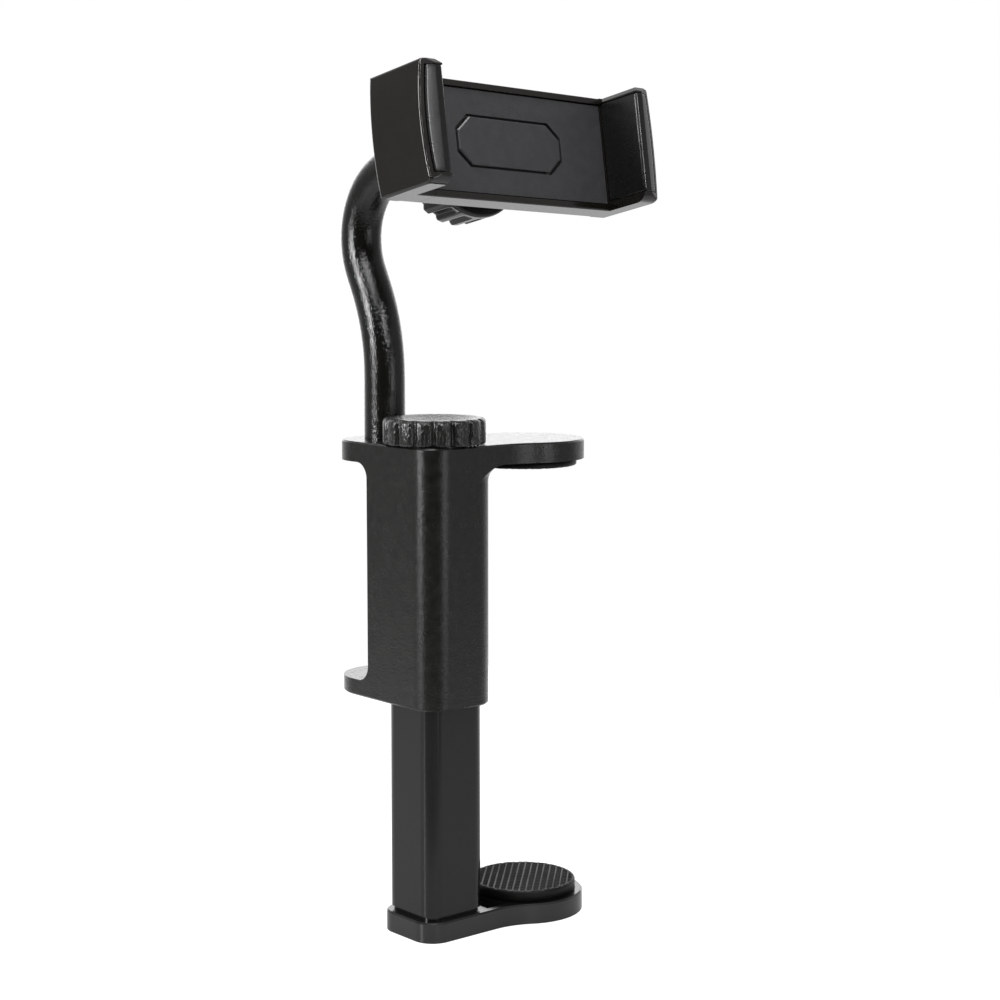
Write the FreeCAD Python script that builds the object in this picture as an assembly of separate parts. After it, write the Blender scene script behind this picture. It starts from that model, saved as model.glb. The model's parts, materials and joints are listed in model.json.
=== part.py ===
import FreeCAD, Part
import math
import os

# Edge clamp with a bent rod and a spring phone holder, in millimetres, +Z up.
# The origin is on the tube's axis at the underside of the foot plate.
# +X points along the two clamp arms, +Y towards the rod's ears, and the holder faces -Y.

Vector = FreeCAD.Vector
X_AXIS = Vector(1, 0, 0)
Y_AXIS = Vector(0, 1, 0)
Z_AXIS = Vector(0, 0, 1)

# Clearances
SLIDE_GAP = 0.3
RUNNING_GAP = 0.06
SEAT_GAP = 0.1
AXIAL_PLAY = 0.1
EDGE_ROUND = 0.5
EDGE_BEVEL = 0.45
NEAR = 0.001

# Clamp arms, shared by both jaws
PAD_AXIS_X = 32.0
DISC_RADIUS = 17.2
PAD_RADIUS = 15.1
RIB_PITCH = 1.85
RIB_DEPTH = 0.5
RIB_TURN_DEG = 45.0

# Foot plate
FOOT_THICKNESS = 5.7
FOOT_HALF_WIDTH = 11.6
FOOT_CORNER = 6.2
FOOT_FLARE = 20.0
FOOT_PAD_HEIGHT = 3.2
PAD_SEAT_DEPTH = 0.6
POCKET_DEPTH = 3.4
POCKET_SIDE_WALL = 2.2
POCKET_RIM = 0.9

# Inner tube and its inserts
TUBE_SIDE = 20.0
TUBE_WALL = 1.8
TUBE_CORNER = 4.2
TUBE_LENGTH = 85.0
TUBE_SEAT_DEPTH = 2.5
TUBE_NECK_DEPTH = 0.7
TUBE_NECK_HEIGHT = 1.2
LEAD_NUT_LENGTH = 10.0
BASE_PLUG_LENGTH = 9.0
FOOT_SCREW_RADIUS = 1.5
FOOT_SCREW_HEAD_RADIUS = 2.8
FOOT_SCREW_HEAD = 1.7
FOOT_SCREW_SPREAD = 5.0
FOOT_SCREW_GRIP = 6.0

# Outer sleeve
SLEEVE_REST_HEIGHT = 64.8
SLEEVE_HEIGHT = 71.4
SLEEVE_SIDE_WALL = 1.8
SLEEVE_FRONT_WALL = 2.8
SLEEVE_BACK_WALL = 4.6
SLEEVE_FRONT_CORNER = 7.4
TOP_PLATE = 5.6
TOP_ARM_FLARE = 24.0
LOWER_EAR = 4.6
EAR_AXIS_Y = 22.3
WEB_FILLET = 4.4
UPPER_PAD_THICKNESS = 2.0

# Lead screw and knob
SCREW_RADIUS = 4.0
SCREW_TAIL = 8.0
COLLAR_RADIUS = 7.5
COLLAR_LENGTH = 4.0
WASHER_RADIUS = 9.0
WASHER_THICKNESS = 0.8
KNOB_RADIUS = 14.2
KNOB_HEIGHT = 7.0
KNOB_GAP = 0.3
KNOB_FLUTES = 16
KNOB_FLUTE_WIDTH = 1.6
KNOB_FLUTE_DEPTH = 0.75
KNOB_DISH = 0.7
KNOB_RIM = 2.2
KNOB_TOP_COVER = 2.0

# Bent rod
ROD_RADIUS = 5.75
SPINDLE_RADIUS = 4.0
ROD_UPRIGHT = 18.0
LEAN_RADIUS = 52.5
LEAN_DEG = 27.2
LEAN_STRAIGHT = 5.35
HOOK_RADIUS = 19.8
HOOK_STRAIGHT = 14.2
CLIP_THICKNESS = 1.2
CLIP_RADIUS = 6.2
CLIP_GROOVE_DEPTH = 0.8
CLIP_MOUTH = 3.4
SPINDLE_END = 0.5
SPINDLE_WASHER_RADIUS = 7.2
EAR_RECESS = 2.6

# Ball joint
BALL_RADIUS = 8.5
NECK_RADIUS = 4.0
NECK_REACH = 9.5
SHANK_RADIUS = 3.0
SHANK_LENGTH = 12.0
BALL_BEHIND_FACE = 20.7
BOSS_RADIUS = 13.6
SOCKET_RADIUS = 11.0
SOCKET_PAST_BALL = 1.8
NUT_RADIUS = 16.1
NUT_LENGTH = 11.6
NUT_PAST_BALL = 4.8
NUT_RIBS = 20
NUT_RIB_WIDTH = 2.6
NUT_GROOVE_FLOOR = 1.5
NUT_GROOVE_DEPTH = 1.1
NUT_COLLAR = 2.6

# Pose of the holder on its ball
HOLDER_TURN_DEG = 12.2
HOLDER_TILT_DEG = -11.4
HOLDER_SPIN_DEG = -9.7

# Phone holder, in its own frame: x along the plate, y into it, z up, origin in the plate's front face
HOLDER_HEIGHT = 30.7
HOLDER_DEPTH = 7.6
HOLDER_LEFT = 27.3
FIXED_JAW_FACE = 34.0
PHONE_GAP = 67.3
JAW_REACH = 13.7
JAW_SHELL = 1.2
JAW_PAD = 4.7
JAW_FLAT = 2.2
JAW_SLOPE = 0.4
JAW_BOW = 1.1
JAW_ROUND = 1.0
JAW_CHIN_ROUND = 3.5
JAW_CAP_BEVEL = 1.2
PAD_TOP_BORDER = 1.7
PAD_BOTTOM_BORDER = 2.6
PAD_FRONT_ROUND = 0.5
JAW_TRAVEL = 16.5
RIM_WIDTH = 1.7
PANEL_INSET = 0.5
PANEL_THICKNESS = 0.9
FRONT_WALL = 1.2
CAVITY_DEPTH = 3.2
COVER_MARGIN = 2.0
COVER_CORNER = 2.0
OCTAGON_HALF_WIDTH = 17.6
OCTAGON_HALF_HEIGHT = 6.2
OCTAGON_CUT_WIDTH = 4.2
OCTAGON_CUT_HEIGHT = 3.7
OCTAGON_GROOVE = 0.7
OCTAGON_PROUD = 0.35
OCTAGON_BEVEL = 0.3
TONGUE_HALF_HEIGHT = 6.0
TONGUE_GRIP = 18.0
YOKE_LENGTH = 3.0
YOKE_HALF_HEIGHT = 10.8
SPRING_AXIS_Z = 8.9
SPRING_RADIUS = 1.4
SPRING_WIRE = 0.25
SPRING_TURNS = 5
SPRING_LENGTH = 24.0
COVER_SCREW_RADIUS = 1.1
COVER_SCREW_HEAD_RADIUS = 2.0
COVER_SCREW_HEAD = 1.1
COVER_SCREW_LENGTH = 4.2
COVER_SCREW_INSET = 3.2

# Levels and places that follow from the sizes above
TUBE_HALF = TUBE_SIDE / 2
TUBE_BOTTOM = FOOT_THICKNESS - TUBE_SEAT_DEPTH
TUBE_TOP = TUBE_BOTTOM + TUBE_LENGTH
TUBE_NECK_HALF = TUBE_HALF - TUBE_NECK_DEPTH
TUBE_NECK_CORNER = TUBE_CORNER - TUBE_NECK_DEPTH
TUBE_NECK_TOP = FOOT_THICKNESS + TUBE_NECK_HEIGHT
BORE_HALF = TUBE_HALF + SLIDE_GAP
SLEEVE_HALF_X = BORE_HALF + SLEEVE_SIDE_WALL
SLEEVE_FRONT_Y = -(BORE_HALF + SLEEVE_FRONT_WALL)
SLEEVE_BACK_Y = BORE_HALF + SLEEVE_BACK_WALL
SLEEVE_BOTTOM = SLEEVE_REST_HEIGHT
SLEEVE_TOP = SLEEVE_BOTTOM + SLEEVE_HEIGHT
PLATE_BOTTOM = SLEEVE_TOP - TOP_PLATE
WASHER_TOP = SLEEVE_TOP + WASHER_THICKNESS
KNOB_BOTTOM = SLEEVE_TOP + KNOB_GAP
KNOB_TOP = KNOB_BOTTOM + KNOB_HEIGHT
SCREW_BOTTOM = TUBE_TOP - LEAD_NUT_LENGTH - SCREW_TAIL
SCREW_TOP = KNOB_TOP - KNOB_TOP_COVER
RECESS_ROOF = SLEEVE_BOTTOM + EAR_RECESS
CLIP_TOP = RECESS_ROOF - WASHER_THICKNESS
CLIP_BOTTOM = CLIP_TOP - CLIP_THICKNESS
SPINDLE_BOTTOM = CLIP_BOTTOM - SPINDLE_END
LEAN = math.radians(LEAN_DEG)
LEAN_START_Z = SLEEVE_TOP + ROD_UPRIGHT
HOOK_START_Y = EAR_AXIS_Y + LEAN_RADIUS * (1 - math.cos(LEAN)) + LEAN_STRAIGHT * math.sin(LEAN)
HOOK_START_Z = LEAN_START_Z + LEAN_RADIUS * math.sin(LEAN) + LEAN_STRAIGHT * math.cos(LEAN)
HOOK_CENTRE = Vector(0, HOOK_START_Y - HOOK_RADIUS * math.cos(LEAN),
                     HOOK_START_Z + HOOK_RADIUS * math.sin(LEAN))
HOOK_TOP_Z = HOOK_CENTRE.z + HOOK_RADIUS
ROD_END_Y = HOOK_CENTRE.y - HOOK_STRAIGHT
BALL_CENTRE = Vector(0, ROD_END_Y - NECK_REACH, HOOK_TOP_Z)
HALF_HEIGHT = HOLDER_HEIGHT / 2
PANEL_BACK = PANEL_INSET + PANEL_THICKNESS
CAVITY_FRONT = PANEL_BACK + FRONT_WALL
CAVITY_BACK = CAVITY_FRONT + CAVITY_DEPTH
FIXED_JAW_EDGE = FIXED_JAW_FACE + JAW_PAD + JAW_SHELL
SLIDING_JAW_FACE = FIXED_JAW_FACE - PHONE_GAP
SLIDING_JAW_EDGE = SLIDING_JAW_FACE - JAW_PAD - JAW_SHELL
TONGUE_END = -HOLDER_LEFT + JAW_TRAVEL + TONGUE_GRIP
YOKE_START = TONGUE_END - YOKE_LENGTH
CAVITY_LEFT = YOKE_START - JAW_TRAVEL - SLIDE_GAP
CAVITY_RIGHT = TONGUE_END + SPRING_LENGTH
CAVITY_HALF_HEIGHT = YOKE_HALF_HEIGHT + SLIDE_GAP
COVER_LEFT = -HOLDER_LEFT + COVER_MARGIN
COVER_RIGHT = CAVITY_RIGHT + 2 * COVER_SCREW_INSET
COVER_HALF_HEIGHT = HALF_HEIGHT - COVER_MARGIN
BOSS_BACK = BALL_BEHIND_FACE + NUT_PAST_BALL - NUT_LENGTH


def box(x_range, y_range, z_range):
    """Make a box from its limits along the three axes."""
    low = Vector(x_range[0], y_range[0], z_range[0])
    return Part.makeBox(x_range[1] - x_range[0], y_range[1] - y_range[0], z_range[1] - z_range[0], low)


def cylinder_z(radius, z_range, x=0.0, y=0.0):
    """Make an upright cylinder between two levels."""
    return Part.makeCylinder(radius, z_range[1] - z_range[0], Vector(x, y, z_range[0]), Z_AXIS)


def cylinder_y(radius, y_range, x=0.0, z=0.0):
    """Make a cylinder along Y between two depths."""
    return Part.makeCylinder(radius, y_range[1] - y_range[0], Vector(x, y_range[0], z), Y_AXIS)


def ring_z(outer, inner, z_range, x=0.0, y=0.0):
    """Make an upright flat ring."""
    return cylinder_z(outer, z_range, x, y).cut(cylinder_z(inner, z_range, x, y))


def rounded_polygon(corners):
    """Make a closed wire in XY from (x, y, radius) corners, with a tangent arc at each radius above zero."""
    edges = []
    entries = []
    exits = []
    arcs = []
    count = len(corners)
    for index in range(count):
        x, y, radius = corners[index]
        here = Vector(x, y, 0)
        back = (Vector(corners[index - 1][0], corners[index - 1][1], 0) - here).normalize()
        onward = corners[(index + 1) % count]
        ahead = (Vector(onward[0], onward[1], 0) - here).normalize()
        half = back.getAngle(ahead) / 2
        reach = radius / math.tan(half)
        inward = (back + ahead).normalize()
        middle = here + inward * (radius / math.sin(half) - radius)
        entries.append(here + back * reach)
        exits.append(here + ahead * reach)
        arcs.append(middle if radius > 0 else None)
    for index in range(count):
        if arcs[index] is not None:
            edges.append(Part.Arc(entries[index], arcs[index], exits[index]).toShape())
        edges.append(Part.LineSegment(exits[index], entries[(index + 1) % count]).toShape())
    return Part.Wire(edges)


def rounded_rectangle(x_range, y_range, front_radius, back_radius):
    """Make a rectangle's wire with one radius on its low-y corners and one on its high-y corners."""
    return rounded_polygon([
        (x_range[0], y_range[0], front_radius),
        (x_range[1], y_range[0], front_radius),
        (x_range[1], y_range[1], back_radius),
        (x_range[0], y_range[1], back_radius),
    ])


def prism_z(wire, z_range):
    """Extrude a wire that lies in XY between two levels."""
    face = Part.Face(wire)
    face.translate(Vector(0, 0, z_range[0]))
    return face.extrude(Vector(0, 0, z_range[1] - z_range[0]))


def prism_y(wire, y_range):
    """Stand a wire drawn in XY upright in XZ and extrude it between two depths."""
    face = Part.Face(wire)
    face.rotate(Vector(0, 0, 0), X_AXIS, 90)
    face.translate(Vector(0, y_range[0], 0))
    return face.extrude(Vector(0, y_range[1] - y_range[0], 0))


def prism_x(wire, x_range):
    """Stand a wire drawn in XY upright in YZ and extrude it between two places along X."""
    face = Part.Face(wire)
    face.rotate(Vector(0, 0, 0), Vector(1, 1, 1), 120)
    face.translate(Vector(x_range[0], 0, 0))
    return face.extrude(Vector(x_range[1] - x_range[0], 0, 0))


def square_prism(half, corner, z_range):
    """Make an upright square bar with rounded corners about the Z axis."""
    return prism_z(rounded_rectangle((-half, half), (-half, half), corner, corner), z_range)


def paddle_outline(back_x, half_width, corner, flare):
    """Draw an arm from a straight-sided end to the pad's disc, with a hollow flare into the disc."""
    flare_y = half_width + flare
    flare_x = PAD_AXIS_X - math.sqrt((DISC_RADIUS + flare) ** 2 - flare_y ** 2)
    disc = Vector(PAD_AXIS_X, 0, 0)
    edges = []
    tips = []
    for side in (-1, 1):
        centre = Vector(flare_x, side * flare_y, 0)
        line_end = Vector(flare_x, side * half_width, 0)
        disc_end = disc + (centre - disc).normalize() * DISC_RADIUS
        middle = centre + ((line_end - centre) + (disc_end - centre)).normalize() * flare
        line_start = Vector(back_x + corner, side * half_width, 0)
        edges.append(Part.LineSegment(line_start, line_end).toShape())
        edges.append(Part.Arc(line_end, middle, disc_end).toShape())
        if corner > 0:
            side_end = Vector(back_x, side * (half_width - corner), 0)
            corner_centre = Vector(back_x + corner, side * (half_width - corner), 0)
            corner_middle = corner_centre + Vector(-1, side, 0).normalize() * corner
            edges.append(Part.Arc(line_start, corner_middle, side_end).toShape())
        tips.append(disc_end)
    edges.append(Part.Arc(tips[0], disc + X_AXIS * DISC_RADIUS, tips[1]).toShape())
    back_half = half_width - corner
    edges.append(Part.LineSegment(Vector(back_x, -back_half, 0), Vector(back_x, back_half, 0)).toShape())
    return Part.Wire(Part.__sortEdges__(edges))


def level_edges(shape, level):
    """List the edges of a shape that lie wholly at one height."""
    found = []
    for edge in shape.Edges:
        bounds = edge.BoundBox
        if abs(bounds.ZMin - level) < NEAR and abs(bounds.ZMax - level) < NEAR:
            found.append(edge)
    return found


def ribbed_pad(z_range, ribs_up):
    """Make a round rubber pad on the clamp arm's axis, with straight ribs across its gripping face."""
    pad = cylinder_z(PAD_RADIUS, z_range, PAD_AXIS_X)
    groove_low = z_range[1] - RIB_DEPTH if ribs_up else z_range[0]
    span = PAD_RADIUS + RIB_PITCH
    grooves = []
    count = int(PAD_RADIUS / RIB_PITCH)
    for index in range(-count, count):
        middle = (index + 0.5) * RIB_PITCH
        half_groove = RIB_PITCH / 4
        grooves.append(box((middle - half_groove, middle + half_groove), (-span, span),
                           (groove_low, groove_low + RIB_DEPTH)))
    cutter = Part.makeCompound(grooves)
    cutter.rotate(Vector(0, 0, 0), Z_AXIS, -RIB_TURN_DEG)
    cutter.translate(Vector(PAD_AXIS_X, 0, 0))
    return pad.cut(cutter)


def make_foot_plate():
    """Foot casting: square end with the tube's socket, round pad end and a hollow between them."""
    outline = paddle_outline(-FOOT_HALF_WIDTH, FOOT_HALF_WIDTH, FOOT_CORNER, FOOT_FLARE)
    plate = prism_z(outline, (0, FOOT_THICKNESS))
    plate = plate.makeChamfer(EDGE_BEVEL, level_edges(plate, FOOT_THICKNESS))
    socket_z = (TUBE_BOTTOM, FOOT_THICKNESS)
    socket = square_prism(TUBE_NECK_HALF + SEAT_GAP, TUBE_NECK_CORNER + SEAT_GAP, socket_z)
    plate = plate.cut(socket)
    plate = plate.cut(cylinder_z(PAD_RADIUS + SEAT_GAP, (FOOT_THICKNESS - PAD_SEAT_DEPTH, FOOT_THICKNESS),
                                 PAD_AXIS_X))
    pocket_half = FOOT_HALF_WIDTH - POCKET_SIDE_WALL
    pocket_z = (FOOT_THICKNESS - POCKET_DEPTH, FOOT_THICKNESS)
    pocket = box((TUBE_HALF + POCKET_RIM, PAD_AXIS_X), (-pocket_half, pocket_half), pocket_z)
    pocket = pocket.cut(cylinder_z(PAD_RADIUS + POCKET_RIM, pocket_z, PAD_AXIS_X))
    plate = plate.cut(pocket)
    for x in (-FOOT_SCREW_SPREAD, FOOT_SCREW_SPREAD):
        plate = plate.cut(cylinder_z(FOOT_SCREW_RADIUS + SEAT_GAP, (0, FOOT_THICKNESS), x))
        plate = plate.cut(cylinder_z(FOOT_SCREW_HEAD_RADIUS + SEAT_GAP, (0, FOOT_SCREW_HEAD), x))
    return plate


def make_foot_pad():
    """Lower rubber pad, seated in a shallow round recess of the foot."""
    base = FOOT_THICKNESS - PAD_SEAT_DEPTH
    return ribbed_pad((base, FOOT_THICKNESS + FOOT_PAD_HEIGHT), True)


def make_lower_tube():
    """Square tube that slides in the sleeve, with a narrower neck where it enters the foot."""
    inner = TUBE_HALF - TUBE_WALL
    tube = square_prism(TUBE_HALF, TUBE_CORNER, (TUBE_NECK_TOP, TUBE_TOP))
    tube = tube.fuse(square_prism(TUBE_NECK_HALF, TUBE_NECK_CORNER, (TUBE_BOTTOM, TUBE_NECK_TOP)))
    return tube.cut(square_prism(inner, TUBE_CORNER - TUBE_WALL, (TUBE_BOTTOM, TUBE_TOP)))


def tube_insert(z_range):
    """Make a square plug that fits the tube's inside."""
    half = TUBE_HALF - TUBE_WALL - RUNNING_GAP
    return square_prism(half, TUBE_CORNER - TUBE_WALL, z_range)


def make_lead_nut():
    """Square nut fixed in the top of the tube, with the lead screw's bore."""
    z_range = (TUBE_TOP - LEAD_NUT_LENGTH, TUBE_TOP)
    return tube_insert(z_range).cut(cylinder_z(SCREW_RADIUS + RUNNING_GAP, z_range))


def make_base_plug():
    """Square plug in the tube's lower end, which the foot screws pull against."""
    z_range = (TUBE_BOTTOM, TUBE_BOTTOM + BASE_PLUG_LENGTH)
    plug = tube_insert(z_range)
    hole_z = (TUBE_BOTTOM, FOOT_SCREW_HEAD + FOOT_SCREW_GRIP)
    for x in (-FOOT_SCREW_SPREAD, FOOT_SCREW_SPREAD):
        plug = plug.cut(cylinder_z(FOOT_SCREW_RADIUS, hole_z, x))
    return plug


def make_foot_screws():
    """Two flush screws that hold the foot to the tube's plug."""
    screws = []
    for x in (-FOOT_SCREW_SPREAD, FOOT_SCREW_SPREAD):
        head = cylinder_z(FOOT_SCREW_HEAD_RADIUS, (AXIAL_PLAY, FOOT_SCREW_HEAD), x)
        shank = cylinder_z(FOOT_SCREW_RADIUS, (AXIAL_PLAY, FOOT_SCREW_HEAD + FOOT_SCREW_GRIP), x)
        screws.append(head.fuse(shank).removeSplitter())
    return Part.makeCompound(screws)


def ear_prism(z_range):
    """Make one rod ear: as wide as the sleeve, flush with its sides, and round about the rod's axis."""
    straight = box((-SLEEVE_HALF_X, SLEEVE_HALF_X), (0, EAR_AXIS_Y), z_range)
    return straight.fuse(cylinder_z(SLEEVE_HALF_X, z_range, 0, EAR_AXIS_Y))


def fillet_section(radius):
    """Draw the section of an inside fillet in XZ: wall along Z, underside along X and a hollow arc."""
    corner = Vector(0, 0, 0)
    out = Vector(radius, 0, 0)
    down = Vector(0, 0, -radius)
    centre = Vector(radius, 0, -radius)
    middle = centre + Vector(-1, 0, 1).normalize() * radius
    edges = [Part.LineSegment(corner, out).toShape(), Part.Arc(out, middle, down).toShape(),
             Part.LineSegment(down, corner).toShape()]
    return Part.Face(Part.Wire(edges))


def arm_web():
    """Fillet under the upper arm, along the sleeve's side and round its front corner."""
    corner_x = SLEEVE_HALF_X - SLEEVE_FRONT_CORNER
    corner_y = SLEEVE_FRONT_Y + SLEEVE_FRONT_CORNER
    section = fillet_section(WEB_FILLET)
    section.translate(Vector(SLEEVE_HALF_X, corner_y, PLATE_BOTTOM))
    side = section.extrude(Vector(0, SLEEVE_BACK_Y - corner_y, 0))
    bend = section.revolve(Vector(corner_x, corner_y, 0), Z_AXIS, -90)
    return side.fuse(bend)


def ear_web(level, downward):
    """Fillet between an ear and the sleeve's back wall, as wide as the sleeve."""
    section = fillet_section(WEB_FILLET)
    section.rotate(Vector(0, 0, 0), Z_AXIS, 90)
    if not downward:
        section.rotate(Vector(0, 0, 0), Y_AXIS, 180)
    section.translate(Vector(-SLEEVE_HALF_X, SLEEVE_BACK_Y, level))
    return section.extrude(Vector(2 * SLEEVE_HALF_X, 0, 0))


def make_clamp_sleeve():
    """Cast sleeve with its top plate, upper clamp arm, the two rod ears and the recess for the rod's clip."""
    side = (-SLEEVE_HALF_X, SLEEVE_HALF_X)
    outline = rounded_rectangle(side, (SLEEVE_FRONT_Y, SLEEVE_BACK_Y), SLEEVE_FRONT_CORNER, 0)
    body = prism_z(outline, (SLEEVE_BOTTOM, SLEEVE_TOP))
    arm = paddle_outline(0, -SLEEVE_FRONT_Y, 0, TOP_ARM_FLARE)
    arm_limits = prism_z(arm, (SLEEVE_BOTTOM, SLEEVE_TOP))
    web = arm_web().common(arm_limits)
    plate_z = (PLATE_BOTTOM, SLEEVE_TOP)
    lower_top = SLEEVE_BOTTOM + LOWER_EAR
    pieces = [prism_z(arm, plate_z), ear_prism(plate_z), ear_prism((SLEEVE_BOTTOM, lower_top)), web,
              ear_web(PLATE_BOTTOM, True), ear_web(lower_top, False)]
    body = body.fuse(pieces).removeSplitter()
    body = body.makeChamfer(EDGE_BEVEL, level_edges(body, SLEEVE_TOP) + level_edges(body, SLEEVE_BOTTOM))
    bore = square_prism(BORE_HALF, TUBE_CORNER + SLIDE_GAP, (SLEEVE_BOTTOM, PLATE_BOTTOM))
    body = body.cut(bore)
    body = body.cut(cylinder_z(SCREW_RADIUS + RUNNING_GAP, plate_z))
    body = body.cut(cylinder_z(SPINDLE_RADIUS + RUNNING_GAP, (SLEEVE_BOTTOM, SLEEVE_TOP), 0, EAR_AXIS_Y))
    recess_z = (SLEEVE_BOTTOM, RECESS_ROOF)
    return body.cut(cylinder_z(SPINDLE_WASHER_RADIUS + SEAT_GAP, recess_z, 0, EAR_AXIS_Y))


def make_upper_jaw_pad():
    """Upper rubber pad, under the end of the clamp arm."""
    return ribbed_pad((PLATE_BOTTOM - UPPER_PAD_THICKNESS, PLATE_BOTTOM), False)


def make_thrust_washer():
    """Washer between the knob and the top plate."""
    return ring_z(WASHER_RADIUS, SCREW_RADIUS + RUNNING_GAP, (SLEEVE_TOP, WASHER_TOP))


def make_lead_screw():
    """Screw that the knob turns and the tube's nut climbs."""
    return cylinder_z(SCREW_RADIUS, (SCREW_BOTTOM, SCREW_TOP))


def make_screw_collar():
    """Collar on the screw under the top plate, which takes the clamping pull."""
    top = PLATE_BOTTOM - AXIAL_PLAY
    return ring_z(COLLAR_RADIUS, SCREW_RADIUS, (top - COLLAR_LENGTH, top))


def polar(radius, turn):
    """Give the point at a radius and an angle in XY."""
    return Vector(radius * math.cos(turn), radius * math.sin(turn), 0)


def lobed_outline():
    """Draw the knob's outline: round lobes with a narrow groove between each two."""
    pitch = 2 * math.pi / KNOB_FLUTES
    half = math.asin(KNOB_FLUTE_WIDTH / (2 * KNOB_RADIUS))
    edges = []
    for index in range(KNOB_FLUTES):
        turn = pitch * index
        lobe_end = polar(KNOB_RADIUS, turn + pitch - half)
        groove = polar(KNOB_RADIUS - KNOB_FLUTE_DEPTH, turn + pitch)
        lobe_middle = polar(KNOB_RADIUS, turn + pitch / 2)
        edges.append(Part.Arc(polar(KNOB_RADIUS, turn + half), lobe_middle, lobe_end).toShape())
        edges.append(Part.LineSegment(lobe_end, groove).toShape())
        edges.append(Part.LineSegment(groove, polar(KNOB_RADIUS, turn + pitch + half)).toShape())
    return Part.Wire(edges)


def make_clamp_knob():
    """Fluted round knob with a slightly dished top and a recess for the washer underneath."""
    shoulder = 2 * EDGE_ROUND
    profile = [Vector(0, 0, KNOB_BOTTOM), Vector(KNOB_RADIUS - EDGE_ROUND, 0, KNOB_BOTTOM),
               Vector(KNOB_RADIUS, 0, KNOB_BOTTOM + EDGE_ROUND), Vector(KNOB_RADIUS, 0, KNOB_TOP - shoulder),
               Vector(KNOB_RADIUS - shoulder, 0, KNOB_TOP), Vector(0, 0, KNOB_TOP)]
    outline = Part.makePolygon(profile + profile[:1])
    knob = Part.Face(outline).revolve(Vector(0, 0, 0), Z_AXIS, 360)
    dish_edge = KNOB_RADIUS - KNOB_RIM
    dish_radius = (dish_edge ** 2 + KNOB_DISH ** 2) / (2 * KNOB_DISH)
    knob = knob.cut(Part.makeSphere(dish_radius, Vector(0, 0, KNOB_TOP - KNOB_DISH + dish_radius)))
    knob = knob.common(prism_z(lobed_outline(), (KNOB_BOTTOM, KNOB_TOP)))
    knob = knob.cut(cylinder_z(WASHER_RADIUS + SEAT_GAP, (KNOB_BOTTOM, WASHER_TOP + AXIAL_PLAY)))
    return knob.cut(cylinder_z(SCREW_RADIUS, (KNOB_BOTTOM, SCREW_TOP)))


def make_support_rod():
    """Bent rod: spindle through both ears, upright, lean back, hook forward, and a stud socket."""
    foot = Vector(0, EAR_AXIS_Y, SLEEVE_TOP)
    lean_start = Vector(0, EAR_AXIS_Y, LEAN_START_Z)
    lean_centre_y = EAR_AXIS_Y + LEAN_RADIUS

    def on_lean(angle):
        y = lean_centre_y - LEAN_RADIUS * math.cos(angle)
        return Vector(0, y, LEAN_START_Z + LEAN_RADIUS * math.sin(angle))

    def on_hook(angle):
        return HOOK_CENTRE + Vector(0, HOOK_RADIUS * math.cos(angle), HOOK_RADIUS * math.sin(angle))

    lean_end = on_lean(LEAN)
    hook_start = on_hook(-LEAN)
    hook_end = on_hook(math.pi / 2)
    hook_middle = on_hook((math.pi / 2 - LEAN) / 2)
    end = Vector(0, ROD_END_Y, HOOK_TOP_Z)
    path = Part.Wire([
        Part.LineSegment(foot, lean_start).toShape(),
        Part.Arc(lean_start, on_lean(LEAN / 2), lean_end).toShape(),
        Part.LineSegment(lean_end, hook_start).toShape(),
        Part.Arc(hook_start, hook_middle, hook_end).toShape(),
        Part.LineSegment(hook_end, end).toShape(),
    ])
    section = Part.Wire([Part.Circle(foot, Z_AXIS, ROD_RADIUS).toShape()])
    rod = path.makePipeShell([section], True, False)
    spindle = cylinder_z(SPINDLE_RADIUS, (SPINDLE_BOTTOM, SLEEVE_TOP), 0, EAR_AXIS_Y)
    groove = ring_z(CLIP_RADIUS, SPINDLE_RADIUS - CLIP_GROOVE_DEPTH, (CLIP_BOTTOM, CLIP_TOP), 0, EAR_AXIS_Y)
    rod = rod.fuse(spindle.cut(groove))
    shank_hole = cylinder_y(SHANK_RADIUS + RUNNING_GAP, (ROD_END_Y, ROD_END_Y + SHANK_LENGTH + AXIAL_PLAY), 0,
                            HOOK_TOP_Z)
    return rod.cut(shank_hole)


def make_spindle_washer():
    """Washer under the lower ear."""
    return ring_z(SPINDLE_WASHER_RADIUS, SPINDLE_RADIUS, (CLIP_TOP, RECESS_ROOF), 0, EAR_AXIS_Y)


def make_spindle_clip():
    """Open retaining clip in the spindle's groove."""
    z_range = (CLIP_BOTTOM, CLIP_TOP)
    clip = ring_z(CLIP_RADIUS, SPINDLE_RADIUS - CLIP_GROOVE_DEPTH, z_range, 0, EAR_AXIS_Y)
    mouth = box((-CLIP_MOUTH / 2, CLIP_MOUTH / 2), (EAR_AXIS_Y, EAR_AXIS_Y + CLIP_RADIUS), z_range)
    return clip.cut(mouth)


def make_ball_stud():
    """Ball with a neck and a shank that goes into the rod's end."""
    ball = Part.makeSphere(BALL_RADIUS, BALL_CENTRE)
    neck = cylinder_y(NECK_RADIUS, (BALL_CENTRE.y, ROD_END_Y), 0, BALL_CENTRE.z)
    shank = cylinder_y(SHANK_RADIUS, (BALL_CENTRE.y, ROD_END_Y + SHANK_LENGTH), 0, BALL_CENTRE.z)
    return ball.fuse([neck, shank]).removeSplitter()


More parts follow.
